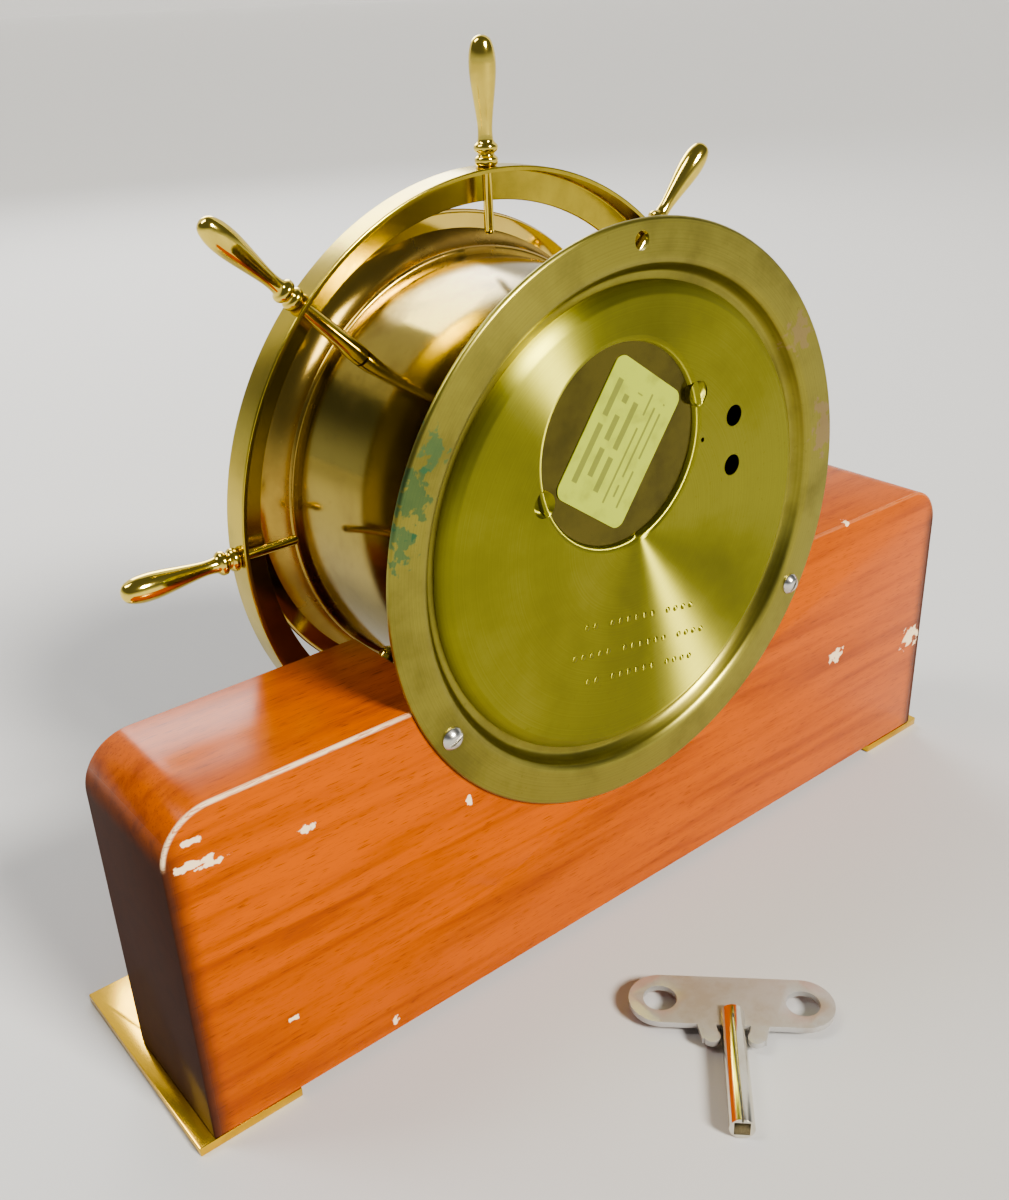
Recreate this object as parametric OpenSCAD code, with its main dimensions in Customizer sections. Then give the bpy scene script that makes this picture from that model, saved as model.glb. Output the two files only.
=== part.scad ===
// Mantel ship's clock: a brass drum case with a helm wheel round its dial, cradled in a
// wooden base on two brass foot plates, with its striking movement and its winding key.
// The dial faces -Y, the back cover faces +Y and +Z is up. The origin is on the table,
// half way along the base, in the plane of the base's back face.
// Inside the case, "depth" is the distance in front of that plane, and a place on the
// dial plane is given as [x, z] from the clock's axis.

/* [Wooden base] */
// Length of the wooden block
base_length = 267; // [255:1:280]
// Front-to-back thickness of the block
base_depth = 40; // [36:1:44]
// Height of the block's top above the table
base_top = 91; // [88:1:94]
// Radius of the block's two rounded top ends
base_round = 12.5; // [6:0.5:16]
// Radius of the round cradle cut through the block for the drum
cradle_radius = 65; // [64.9:0.1:66]

/* [Foot plates] */
// Length of one foot plate along the base
plate_length = 27; // [22:1:32]
// Front-to-back depth of a foot plate, which reaches out in front of the block
plate_depth = 64.8; // [56:0.1:70]
// Thickness of a foot plate
plate_thick = 2.6; // [2:0.1:3]
// How far a foot plate stands out past the end of the block
plate_overhang = 4; // [2:0.5:6]

/* [Case] */
// Height of the clock's axis above the table
axis_height = 115.5; // [115:0.5:118]
// Outer radius of the drum
drum_radius = 58.8; // [58.6:0.1:59]
// Sheet thickness of the drum
drum_wall = 1; // [0.8:0.1:1.2]
// Depth of the joint between the drum and the flared front skirt
skirt_start = 64; // [63.5:0.5:65]
// Radius of the back flange
flange_radius = 74.8; // [74:0.1:78]
// Thickness of the back flange
flange_thick = 1.3; // [1:0.1:1.8]
// Radius of the circle of the three flange holes
flange_hole_circle = 70; // [69.5:0.1:71]
// Radius of the round back cover at its foot
cover_radius = 60.2; // [59.8:0.1:60.6]

/* [Bezel and door] */
// Largest radius of the flared skirt
skirt_radius = 69; // [67.5:0.1:70]
// Depth of the skirt's front edge
skirt_end = 73.9; // [73.5:0.1:74.5]
// Thickness of the door ring, front to back
door_thick = 3.9; // [3.8:0.1:4.4]
// Visible radius of the glass
glass_radius = 61; // [59:0.5:62]

/* [Helm wheel] */
// Outer radius of the wheel rim
rim_radius = 82; // [81:0.5:84]
// Inner radius of the rim's flat front face
rim_inner = 73; // [72.5:0.5:75]
// Depth of the plane of the spokes
spoke_depth = 54; // [53:0.5:55]
// Radius of the handle tips
tip_radius = 112; // [108:0.5:112.5]
// Radius of the swell of a handle
handle_swell = 3.4; // [3:0.1:4]

/* [Movement] */
// Radius of the two movement plates
plate_radius = 50; // [49.5:0.5:51]
// Thickness of a movement plate
plate_wall = 1.8; // [1.5:0.1:2]
// Outer radius of a mainspring barrel
barrel_radius = 19; // [18:0.5:19.5]

/* [Winding key] */
// Length of the key's flat wing
wing_length = 52; // [46:0.5:56]
// Width of the key's flat wing
wing_width = 16.6; // [14:0.2:18]
// Radius of the key's tube
shaft_radius = 3; // [2.6:0.1:3.2]
// Distance from the wing's middle line to the tip of the key's tube
shaft_length = 39; // [34:0.5:42]

/* [Hidden] */

eps = 0.01;
run_fit = 0.05;          // radial clearance of a shaft that turns in its hole
set_fit = 0.02;          // radial clearance of a shaft that is fixed in its hole
round_fn = 128;
small_fn = 48;

half_length = base_length / 2;
door_back = skirt_end + 1.3;
door_front = door_back + door_thick;

// Back of the case
ledge_depth = 2.8;       // depth of the ledge that the cover sits on
sheet = 1.2;
cover_face = -0.4;       // depth of the cover's outer face
cover_sheet = 0.8;
recess_at = [4.5, 22.3];
recess_radius = 25.3;
recess_floor = 1.2;
ear_angles = [163, -17];
label_size = [37, 25.5];
label_tilt = 125.5;
peep_holes = [[-34.4, 21.2], [-34.4, 7.8]];
peep_radius = 2.8;
flange_hole_radius = 2.2;
screw_angles = [-30, 210];

// Helm wheel
rim_wall = 1.2;
rim_back = 50;           // depth of the rim's back edge
rim_front = 58.6;
rod_radius = 1.25;
post_radius = 2.5;
rod_end = 65.5;          // where a plain spoke's rod ends, short of the drum

// Movement plates, as depths
back_plate_at = 28;
front_plate_at = 54.2;
ring_at = front_plate_at + plate_wall;
dial_at = 62;
dial_radius = 57.2;
front_bore = 4.2;        // radius of a winding hole in the dial

function polar(r, a) = r * [cos(a), sin(a)];

// Wheel work: tooth modules, tooth counts and places
great_teeth = 84;
great_module = 0.5;
center_teeth = 80;
center_module = 0.45;
third_teeth = 72;
fourth_teeth = 60;
fine_module = 0.4;
big_leaves = 14;
small_leaves = 12;

time_at = polar((great_teeth + big_leaves) * great_module / 2, -30);
third_angle = 80;
third_at = polar((center_teeth + small_leaves) * center_module / 2, third_angle);
fourth_angle = 160;
fourth_at = third_at + polar((third_teeth + small_leaves) * fine_module / 2, fourth_angle);
escape_angle = 200;
escape_at = fourth_at + polar((fourth_teeth + small_leaves) * fine_module / 2, escape_angle);
lever_at = escape_at + polar(11, 230);
balance_at = lever_at + polar(10.5, 215);
strike_at = [-24, time_at[1]];
second_angle = 290;
second_at = strike_at + polar((great_teeth + big_leaves) * great_module / 2, second_angle);
strike_third_angle = -8;
strike_third_at = second_at
    + polar((fourth_teeth + small_leaves) * fine_module / 2, strike_third_angle);
fly_angle = -22;
fly_at = strike_third_at
    + polar((fourth_teeth + small_leaves) * fine_module / 2, fly_angle);
hammer_at = [39.8, 23];
bell_at = [9, -9];
bell_radius = 34;
pillar_places = [polar(46, 60), polar(46, 125), polar(47, 181), polar(47, 312)];

// Motion work behind the dial
cannon_teeth = 14;
minute_teeth = 42;
minute_leaves = 12;
hour_teeth = 48;
cannon_module = 0.36;
motion_distance = (cannon_teeth + minute_teeth) * cannon_module / 2;
hour_module = 2 * motion_distance / (minute_leaves + hour_teeth);
motion_angle = 90;
motion_at = polar(motion_distance, motion_angle);

// ---------- Shared shapes ----------

// Turned ring or disc about the clock's axis; each profile point is [radius, depth]
module lathe(profile, at = [0, 0]) {
    translate([at[0], 0, axis_height + at[1]]) rotate([90, 0, 0])
        rotate_extrude($fn = round_fn) polygon(profile);
}

// Round bar that runs from one depth to another
module bar(r, from, to, at = [0, 0], fn = small_fn) {
    translate([at[0], -from, axis_height + at[1]]) rotate([90, 0, 0])
        cylinder(r = r, h = to - from, $fn = fn);
}

// Flat shape drawn in the dial plane, from one depth to another
module slab(from, to, at = [0, 0]) {
    translate([at[0], -from, axis_height + at[1]]) rotate([90, 0, 0])
        linear_extrude(to - from) children();
}

// Lays a shape that stands along +Z on the line from the axis at an angle to +X
module radial(angle) {
    translate([0, -spoke_depth, axis_height]) rotate([0, 90 - angle, 0]) children();
}

module round_bar(from, to, width) {
    hull() {
        translate(from) circle(d = width, $fn = 32);
        translate(to) circle(d = width, $fn = 32);
    }
}

// Straight bar between two places, with square ends
module flat_bar(from, to, width) {
    span = to - from;
    translate(from) rotate(atan2(span[1], span[0])) translate([0, -width / 2])
        square([norm(span), width]);
}

// Involute gear teeth with 25 degree pressure angle and a little backlash
pressure = 25;
function involute(a) = tan(a) * 180 / PI - a;
function flank(r, rb, half) = half + involute(pressure) - involute(acos(min(1, rb / r)));
function tooth(n, m, i, steps) =
    let (rp = m * n / 2, rb = rp * cos(pressure), tip = rp + 0.9 * m, foot = rp - 1.2 * m,
        start = max(rb, foot + 0.02), half = 90 / n - 0.14 * m / rp * 180 / PI,
        c = 360 * i / n,
        radii = [for (k = [0:steps]) start + (tip - start) * k / steps])
    concat([polar(foot, c - flank(start, rb, half))],
        [for (r = radii) polar(r, c - flank(r, rb, half))],
        [for (k = [steps:-1:0]) polar(radii[k], c + flank(radii[k], rb, half))],
        [polar(foot, c + flank(start, rb, half))]);
module gear_outline(n, m, steps = 1) {
    polygon([for (i = [0:n - 1]) each tooth(n, m, i, steps)]);
}

// Turn of a follower that puts a gap of its teeth opposite a tooth of its driver
function mesh_turn(angle, driver, follower) =
    angle + 180 - (0.5 - angle * driver / 360) * 360 / follower;

// Straight arms from the middle of a wheel out to its rim
module arms(count, reach, width = 1.6) {
    for (i = [0:count - 1]) flat_bar([0, 0], polar(reach, 360 * i / count), width);
}

// Crossed-out train wheel, from one depth to another
module wheel(n, m, from, at, thick = 1.2, hub = 3.2) {
    rim = n * m / 2 - 1.2 * m - 1.3;
    slab(from, from + thick, at) {
        difference() {
            gear_outline(n, m);
            circle(r = rim, $fn = 96);
        }
        arms(5, rim + 0.5);
        circle(r = hub, $fn = small_fn);
    }
    bar(hub - 0.6, from - 0.3, from + thick + 0.3, at);
}

module pinion(n, m, from, to, at, turn) {
    slab(from, to, at) rotate(turn) gear_outline(n, m, 2);
}

// Arbor between the plates with a thinner pivot at each end
module arbor(at, r = 1, pivot = 0.6) {
    bar(r, back_plate_at + plate_wall + 0.2, front_plate_at - 0.2, at);
    bar(pivot, back_plate_at, ring_at, at);
}

// Strip spring wound from an inner to an outer radius
module spiral(inner, outer, turns, width, per_turn = 24) {
    last = turns * per_turn;
    pitch = (outer - inner) / last;
    polygon(concat(
        [for (i = [0:last]) polar(inner + pitch * i, 360 * i / per_turn)],
        [for (i = [last:-1:0]) polar(inner + pitch * i + width, 360 * i / per_turn)]));
}

// ---------- Base ----------

module base_outline() {
    low = plate_thick;
    height = base_top - plate_thick;
    translate([-half_length, low]) square([base_length, height - base_round]);
    translate([-half_length + base_round, low])
        square([base_length - 2 * base_round, height]);
    for (side = [-1, 1])
        translate([side * (half_length - base_round), base_top - base_round])
            circle(r = base_round, $fn = 96);
}

foot_screw_x = half_length - 9.5;
foot_screw_y = [-10, -30];

module at_foot_screws(side) {
    for (y = foot_screw_y) translate([side * foot_screw_x, y, 0]) children();
}

module wood_base() color("saddlebrown") {
    difference() {
        rotate([90, 0, 0]) linear_extrude(base_depth) base_outline();
        bar(cradle_radius, -1, base_depth + 1, fn = round_fn);
        for (a = screw_angles) bar(1.35, -1, 13, polar(flange_hole_circle, a));
        for (side = [-1, 1]) at_foot_screws(side) cylinder(r = 1.35, h = 15, $fn = small_fn);
    }
}

module foot_plate(side) {
    inner_x = half_length + plate_overhang - plate_length;
    difference() {
        translate([side > 0 ? inner_x : -inner_x - plate_length, -plate_depth, 0])
            cube([plate_length, plate_depth, plate_thick]);
        at_foot_screws(side) {
            translate([0, 0, -1]) cylinder(r = 1.5, h = plate_thick + 2, $fn = small_fn);
            translate([0, 0, -eps]) cylinder(r1 = 3.3, r2 = 1.5, h = 1.8, $fn = small_fn);
        }
    }
}

module foot_plate_left() color("gold") foot_plate(-1);
module foot_plate_right() color("gold") foot_plate(1);

module foot_screws() color("goldenrod") {
    for (side = [-1, 1]) at_foot_screws(side) difference() {
        translate([0, 0, 0.1]) union() {
            cylinder(r1 = 3.1, r2 = 1.33, h = 1.75, $fn = small_fn);
            cylinder(r = 1.33, h = 14.5, $fn = small_fn);
        }
        translate([-4, -0.35, 0]) cube([8, 0.7, 0.7]);
    }
}

// ---------- Case ----------

module case_drum() color("darkgoldenrod") {
    inner = drum_radius - drum_wall;
    difference() {
        lathe([[inner, ledge_depth], [62.4, ledge_depth], [63.2, 2.1], [64.3, -0.3],
            [65, -1], [66, -flange_thick], [flange_radius - 0.4, -flange_thick],
            [flange_radius, -flange_thick + 0.4], [flange_radius, 0], [64.8, 0],
            [64.3, 3.4], [63.8, ledge_depth + sheet], [drum_radius, ledge_depth + sheet],
            [drum_radius, skirt_start], [inner, skirt_start]]);
        for (a = concat(screw_angles, 90))
            bar(flange_hole_radius, -3, 3, polar(flange_hole_circle, a));
        for (a = [45:90:315]) radial(a)
            translate([0, 0, drum_radius - 4]) cylinder(r = rod_radius + set_fit, h = 8,
                $fn = small_fn);
    }
}

module flange_screws() color("silver") {
    head = 3;
    for (a = screw_angles) {
        at = polar(flange_hole_circle, a);
        difference() {
            union() {
                lathe([[0, -3.1], [1.2, -3], [2.3, -2.5], [head, -1.7],
                    [head, -flange_thick], [0, -flange_thick]], at);
                bar(1.33, -flange_thick, 12, at);
            }
            slab(-3.5, -2.3, at) rotate(a + 35) square([8, 0.8], center = true);
        }
    }
}

module recess_ears(r) {
    for (a = ear_angles) translate(recess_at + polar(26.3, a)) circle(r = r, $fn = small_fn);
}

module back_cover() color("olive") {
    edge = cover_radius;
    pad = recess_radius + 1.6;
    difference() {
        union() {
            lathe([[0, cover_face], [edge - 3, cover_face], [edge - 1.5, cover_face + 0.45],
                [edge - 0.5, cover_face + 1.4], [edge, cover_face + 2.6],
                [edge, ledge_depth], [edge - 1, ledge_depth], [edge - 1.4, 1.6],
                [edge - 3.2, cover_face + cover_sheet], [0, cover_face + cover_sheet]]);
            slab(cover_face + 0.4, ledge_depth) translate(recess_at)
                circle(r = pad, $fn = round_fn);
            slab(cover_face + 0.4, ledge_depth - 0.4) recess_ears(4.2);
        }
        slab(-1, recess_floor + 0.8) translate(recess_at)
            circle(r = recess_radius, $fn = round_fn);
        slab(recess_floor, 4) translate(recess_at)
            circle(r = recess_radius - 2, $fn = round_fn);
        slab(-1, recess_floor) recess_ears(3.3);
        for (at = peep_holes) bar(peep_radius, -2, 4, at);
        bar(0.6, -2, 4, recess_at + polar(27.8, 190));
    }
}

module cover_disc() color("darkolivegreen") {
    bar(recess_radius - 0.3, recess_floor, recess_floor + 0.8, recess_at, fn = round_fn);
}

module rear_label() color("yellowgreen") {
    corner = 3;
    slab(recess_floor - 0.25, recess_floor, recess_at + [0.2, 0.6]) rotate(label_tilt) {
        square(label_size - [2 * corner, 0], center = true);
        square(label_size - [0, 2 * corner], center = true);
        for (x = [-1, 1], y = [-1, 1])
            translate([x * (label_size[0] / 2 - corner), y * (label_size[1] / 2 - corner)])
                circle(r = corner, $fn = 32);
    }
}

// ---------- Skirt, door and hinge ----------

hinge_x = -skirt_radius - 2.2;
hinge_depth = door_back + 0.7;
knuckle_radius = 1.9;
hinge_pin_radius = 0.9;
knuckle_half = 6;
hinge_half = 12;

// Upright round bar on the hinge's axis, between two heights from the clock's axis
module hinge_bar(r, low, high) {
    translate([hinge_x, -hinge_depth, axis_height + low])
        cylinder(r = r, h = high - low, $fn = small_fn);
}

function flare(t) = [60 + (skirt_radius - 60) * (1 - cos(t)),
    66.4 + (skirt_end - 66.4) * sin(t)];

module front_skirt() color("goldenrod") {
    steps = 8;
    outer = [for (i = [0:steps]) flare(90 * i / steps)];
    inner = [for (i = [steps:-1:0]) flare(90 * i / steps) + [-0.8, 1]];
    bore = drum_radius - drum_wall;
    difference() {
        union() {
            lathe(concat([[bore, skirt_start], [59.6, skirt_start], [60.5, 64.5],
                [60.6, 65.3], [60.2, 66]], outer, inner, [[bore, 66.6]]));
            for (s = [-1, 1]) {
                low = s > 0 ? knuckle_half + 0.3 : -hinge_half;
                high = s > 0 ? hinge_half : -knuckle_half - 0.3;
                hinge_bar(knuckle_radius, low, high);
                translate([hinge_x, -(skirt_end + 0.9), axis_height + low])
                    cube([3.4, 2.2, high - low]);
            }
        }
        hinge_bar(hinge_pin_radius + set_fit, -hinge_half - 1, hinge_half + 1);
    }
}

module hinge_pin() color("gold") hinge_bar(hinge_pin_radius, -hinge_half - 0.6, hinge_half + 0.6);

module door_ring() color("gold") {
    rim = skirt_radius - 0.2;
    groove = glass_radius + 1.5;
    difference() {
        union() {
            lathe([[groove, door_back], [rim - 0.6, door_back], [rim, door_back + 0.7],
                [rim, door_back + 1.8], [rim - 1, door_back + 3.2],
                [rim - 2.6, door_front - 0.3], [rim - 4, door_front],
                [glass_radius + 1.8, door_front - 0.2], [glass_radius, door_front - 1.4],
                [glass_radius, door_back + 2], [groove, door_back + 2]]);
            hinge_bar(knuckle_radius, -knuckle_half, knuckle_half);
            translate([hinge_x, -(door_back + 2.4), axis_height - knuckle_half])
                cube([4.5, 1.5, 2 * knuckle_half]);
        }
        hinge_bar(hinge_pin_radius + run_fit, -hinge_half, hinge_half);
    }
}

module door_glass() color("lightblue", 0.4) {
    bar(glass_radius + 1.4, door_back + 0.2, door_back + 2, fn = round_fn);
}

// Small turned pull on the free side of the door
module door_knob() color("gold") {
    base = skirt_radius - 0.2;
    translate([base, -(door_back + 1.3), axis_height]) rotate([0, 90, 0])
        rotate_extrude($fn = small_fn) polygon([[0, 0.02], [1.1, 0.02], [0.8, 1],
            [1.7, 2], [1.9, 2.9], [1.3, 3.7], [0, 4]]);
}

// ---------- Helm wheel ----------

module wheel_rim() color("goldenrod") {
    difference() {
        lathe([[rim_radius - rim_wall, rim_back], [rim_radius - 0.2, rim_back],
            [rim_radius, rim_back + 0.3], [rim_radius, rim_front - 0.6],
            [rim_radius - 0.6, rim_front], [rim_inner + 0.3, rim_front],
            [rim_inner, rim_front - 0.3], [rim_inner, rim_front - rim_wall],
            [rim_radius - rim_wall, rim_front - rim_wall]]);
        for (a = [0:45:315]) radial(a)
            translate([0, 0, rim_radius - 4]) cylinder(r = rod_radius + set_fit, h = 8,
                $fn = small_fn);
    }
}

// Turned handle outline from the rim outwards, as [radius, distance from the axis]
function handle_outline() = let (foot = rim_radius + 0.05, top = tip_radius) [
    [2.2, foot], [2.9, foot + 0.7], [2.9, foot + 1.8], [2.1, foot + 2.6],
    [2.1, foot + 3.1], [3, foot + 3.8], [3, foot + 5], [2, foot + 6], [1.85, foot + 8],
    [2.1, foot + 11], [2.6, foot + 15], [3.1, foot + 19], [handle_swell, top - 7.6],
    [handle_swell, top - 5.6], [handle_swell - 0.4, top - 3.4],
    [handle_swell - 1.1, top - 1.6], [handle_swell - 2.1, top - 0.4], [0, top]];

module plain_spoke(angle) {
    radial(angle) rotate_extrude($fn = small_fn) polygon(concat(
        [[0, rod_end], [rod_radius - 0.3, rod_end], [rod_radius, rod_end + 0.3],
            [rod_radius, rim_radius + 0.05]], handle_outline()));
}

// Spoke with a thick tapered post inside the rim, screwed into the drum
module post_spoke(angle) {
    inside_rim = rim_radius - rim_wall - 0.2;
    radial(angle) rotate_extrude($fn = small_fn) polygon(concat(
        [[0, drum_radius - drum_wall - 0.8], [rod_radius, drum_radius - drum_wall - 0.8],
            [rod_radius, drum_radius + 0.15], [post_radius, drum_radius + 0.15],
            [post_radius, drum_radius + 3], [1.7, inside_rim], [rod_radius, inside_rim],
            [rod_radius, rim_radius + 0.05]], handle_outline()));
}

module spoke_right() color("gold") plain_spoke(0);
module post_upper_right() color("gold") post_spoke(45);
module spoke_top() color("gold") plain_spoke(90);
module post_upper_left() color("gold") post_spoke(135);
module spoke_left() color("gold") plain_spoke(180);
module post_lower_left() color("gold") post_spoke(225);
module spoke_bottom() color("gold") plain_spoke(270);
module post_lower_right() color("gold") post_spoke(315);

// ---------- Dial and hands ----------

hour_pipe = 2.3;
cannon_pipe = 1.6;
minute_length = 44;
hour_length = 30;
hour_hand_at = 64.6;
minute_hand_at = 66.4;
ring_inner = 44;
dial_feet = [polar(50.5, 30), polar(50.5, 150), polar(50.5, 270)];

module dial() color("white") {
    difference() {
        union() {
            bar(dial_radius, dial_at, dial_at + 1, fn = round_fn);
            for (at = dial_feet) bar(1.5, ring_at + 1.2, dial_at, at);
        }
        for (at = [time_at, strike_at]) bar(front_bore, dial_at - 1, dial_at + 2, at);
        bar(hour_pipe + 0.4, dial_at - 1, dial_at + 2);
    }
}

module hand_outline(length, width, hole) {
    difference() {
        union() {
            circle(r = hole + 1.6, $fn = small_fn);
            polygon([[-width * 0.35, -length * 0.16], [width * 0.35, -length * 0.16],
                [width * 0.3, 0], [width / 2, length * 0.7], [0, length],
                [-width / 2, length * 0.7], [-width * 0.3, 0]]);
        }
        circle(r = hole, $fn = small_fn);
    }
}

hour_angle = 55;         // the hands stand at about ten past ten
minute_angle = -61;

module hour_hand() color("black") {
    slab(hour_hand_at, hour_hand_at + 0.5) rotate(hour_angle)
        hand_outline(hour_length, 4.6, hour_pipe - 0.3 + set_fit);
}

module minute_hand() color("black") {
    slab(minute_hand_at, minute_hand_at + 0.5) rotate(minute_angle)
        hand_outline(minute_length, 3.8, cannon_pipe - 0.3 + set_fit);
}

module hand_nut() color("gold") {
    lathe([[1, minute_hand_at + 0.5], [2.1, minute_hand_at + 0.5],
        [2.1, minute_hand_at + 1.3], [1.5, minute_hand_at + 2], [1, minute_hand_at + 2]]);
}

// ---------- Motion work ----------

cannon_from = ring_at + 0.5;

module cannon_pinion() color("gold") {
    difference() {
        union() {
            slab(cannon_from, cannon_from + 1.6) gear_outline(cannon_teeth, cannon_module, 2);
            bar(cannon_pipe, cannon_from + 1.6, minute_hand_at);
            bar(cannon_pipe - 0.3, minute_hand_at - eps, minute_hand_at + 0.5);
        }
        bar(1 + run_fit, cannon_from - 1, minute_hand_at + 2);
    }
}

minute_from = cannon_from + 0.3;
hour_from = minute_from + 1.6;

module minute_wheel() color("gold") {
    difference() {
        union() {
            slab(minute_from, minute_from + 0.9, motion_at)
                rotate(mesh_turn(motion_angle, cannon_teeth, minute_teeth))
                gear_outline(minute_teeth, cannon_module);
            pinion(minute_leaves, hour_module, minute_from + 0.9, hour_from + 1.1,
                motion_at, 0);
        }
        bar(0.8 + run_fit, minute_from - 1, hour_from + 3, motion_at);
    }
}

module hour_wheel() color("gold") {
    difference() {
        union() {
            slab(hour_from, hour_from + 0.9)
                rotate(mesh_turn(motion_angle + 180, minute_leaves, hour_teeth))
                gear_outline(hour_teeth, hour_module);
            bar(hour_pipe, hour_from + 0.9, hour_hand_at);
            bar(hour_pipe - 0.3, hour_hand_at - eps, hour_hand_at + 0.5);
        }
        bar(cannon_pipe + run_fit, hour_from - 1, hour_hand_at + 2);
    }
}

// ---------- Frame of the movement ----------

pivots = [third_at, fourth_at, escape_at, lever_at, second_at, strike_third_at, fly_at];
barrel_places = [time_at, strike_at];
winding_radius = 2.5;
mount_places = [polar(47, 90), polar(47, 215), polar(47, 340)];
pillar_radius = 2.4;
click_pin = 0.9;

function click_at(at) = at + polar(12.4, 80);

module front_plate() color("gold") {
    difference() {
        bar(plate_radius, front_plate_at, ring_at, fn = round_fn);
        bar(1 + run_fit, 50, 60);
        for (at = concat(pivots, [hammer_at])) bar(0.6 + run_fit, 50, 60, at);
        for (at = barrel_places) bar(winding_radius + run_fit, 50, 60, at);
        for (at = pillar_places) bar(1.2 + set_fit, 50, 60, at);
        for (at = mount_places) bar(1.2 + set_fit, 50, 60, at);
        for (at = barrel_places) bar(click_pin + set_fit, 50, 60, click_at(at));
        bar(0.8 + set_fit, 50, 60, motion_at);
    }
}

module back_plate() color("gold") {
    difference() {
        bar(plate_radius, back_plate_at, back_plate_at + plate_wall, fn = round_fn);
        bar(0.6 + run_fit, 20, 35);
        for (at = concat(pivots, [balance_at])) bar(0.6 + run_fit, 20, 35, at);
        bar(1.4 + run_fit, 20, 35, hammer_at);
        for (at = barrel_places) bar(1.8 + run_fit, 20, 35, at);
        for (at = pillar_places) bar(1.2 + set_fit, 20, 35, at);
        bar(1.5 + set_fit, 20, 35, bell_at);
        bar(1.2 + set_fit, 20, 35, cock_foot);
    }
}

module plate_pillars() color("goldenrod") {
    for (at = pillar_places) {
        bar(pillar_radius, back_plate_at + plate_wall, front_plate_at, at);
        bar(1.2, back_plate_at - 0.6, ring_at, at);
        bar(2.2, back_plate_at - 1.8, back_plate_at, at);
    }
    bar(0.8, front_plate_at, hour_from + 1.6, motion_at);
    for (at = barrel_places) bar(click_pin, front_plate_at, ring_at + 2.2, click_at(at));
}

// Flat ring inside the drum that carries the movement and the dial
module movement_ring() color("goldenrod") {
    difference() {
        bar(drum_radius - drum_wall - set_fit, ring_at, ring_at + 1.2, fn = round_fn);
        bar(ring_inner, ring_at - 1, ring_at + 3, fn = round_fn);
        for (at = mount_places) bar(1.2 + set_fit, 50, 60, at);
    }
}

module movement_screws() color("silver") {
    for (at = mount_places) {
        bar(1.2, front_plate_at - 1.6, ring_at + 1.2, at);
        bar(2.2, ring_at + 1.2, ring_at + 2.4, at);
    }
}

// ---------- Barrels and winding ----------

barrel_from = 33.5;
barrel_to = 49.5;
ratchet_at = ring_at + 0.4;
ratchet_teeth = 16;
ratchet_radius = 8;

module ratchet_outline(r) {
    n = ratchet_teeth;
    polygon([for (i = [0:n - 1]) each
        [polar(r, 360 * i / n), polar(r - 1.3, 360 * (i + 0.12) / n),
            polar(r - 0.6, 360 * (i + 0.6) / n)]]);
}

module winding_arbor(at) {
    square_size = 3.5;
    bar(1.8, back_plate_at, back_plate_at + plate_wall + 0.4, at);
    bar(winding_radius, back_plate_at + plate_wall + 0.4, ratchet_at + 1.2, at);
    bar(winding_radius, ratchet_at + 1.2, dial_at - 2.5, at);
    slab(dial_at - 2.5, dial_at + 1.4, at) square(square_size, center = true);
    slab(ratchet_at, ratchet_at + 1.2, at) ratchet_outline(ratchet_radius);
}

module barrel(at) {
    wall = 0.9;
    difference() {
        union() {
            bar(barrel_radius, barrel_from, barrel_to, at, fn = 96);
            slab(barrel_to, barrel_to + 1.5, at)
                gear_outline(great_teeth, great_module);
        }
        bar(barrel_radius - wall, barrel_from + 1, barrel_to - 0.4, at, fn = 96);
        bar(winding_radius + run_fit, barrel_from - 1, barrel_to + 3, at);
    }
}

module mainspring(at) {
    slab(barrel_from + 1.4, barrel_to - 0.8, at) spiral(4.5, barrel_radius - 1.9, 7, 0.6);
}

// Pawl that stands just clear of its ratchet's teeth
module click(at) {
    slab(ratchet_at, ratchet_at + 1.2, click_at(at)) difference() {
        union() {
            circle(r = 2, $fn = small_fn);
            flat_bar([0, 0], [-5, -3.2], 1.5);
        }
        circle(r = click_pin + run_fit, $fn = small_fn);
    }
}

module time_arbor() color("silver") winding_arbor(time_at);
module time_barrel() color("gold") barrel(time_at);
module time_mainspring() color("slategray") mainspring(time_at);
module time_click() color("silver") click(time_at);
module strike_arbor() color("silver") winding_arbor(strike_at);
module strike_barrel() color("gold") barrel(strike_at);
module strike_mainspring() color("slategray") mainspring(strike_at);
module strike_click() color("silver") click(strike_at);

// ---------- Going train ----------

low_level = back_plate_at + plate_wall + 0.8;    // wheels behind the barrels
mid_level = 36;
high_level = 42;
pinion_reach = 0.4;      // how far a pinion stands out past the wheel that drives it

module center_wheel() color("gold") {
    wheel(center_teeth, center_module, low_level, [0, 0]);
    pinion(big_leaves, great_module, barrel_to - pinion_reach, barrel_to + 1.9, [0, 0],
        mesh_turn(150, great_teeth, big_leaves));
    bar(1, back_plate_at + plate_wall + 0.2, minute_hand_at + 2);
    bar(0.6, back_plate_at, back_plate_at + 3);
}

module third_wheel() color("gold") {
    wheel(third_teeth, fine_module, mid_level, third_at);
    pinion(small_leaves, center_module, low_level - pinion_reach,
        low_level + 1.2 + pinion_reach, third_at,
        mesh_turn(third_angle, center_teeth, small_leaves));
    arbor(third_at);
}

module fourth_wheel() color("gold") {
    wheel(fourth_teeth, fine_module, high_level, fourth_at);
    pinion(small_leaves, fine_module, mid_level - pinion_reach,
        mid_level + 1.2 + pinion_reach, fourth_at,
        mesh_turn(fourth_angle, third_teeth, small_leaves));
    arbor(fourth_at);
}

escape_level = 31.6;
escape_teeth = 15;
escape_radius = 8;

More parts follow.
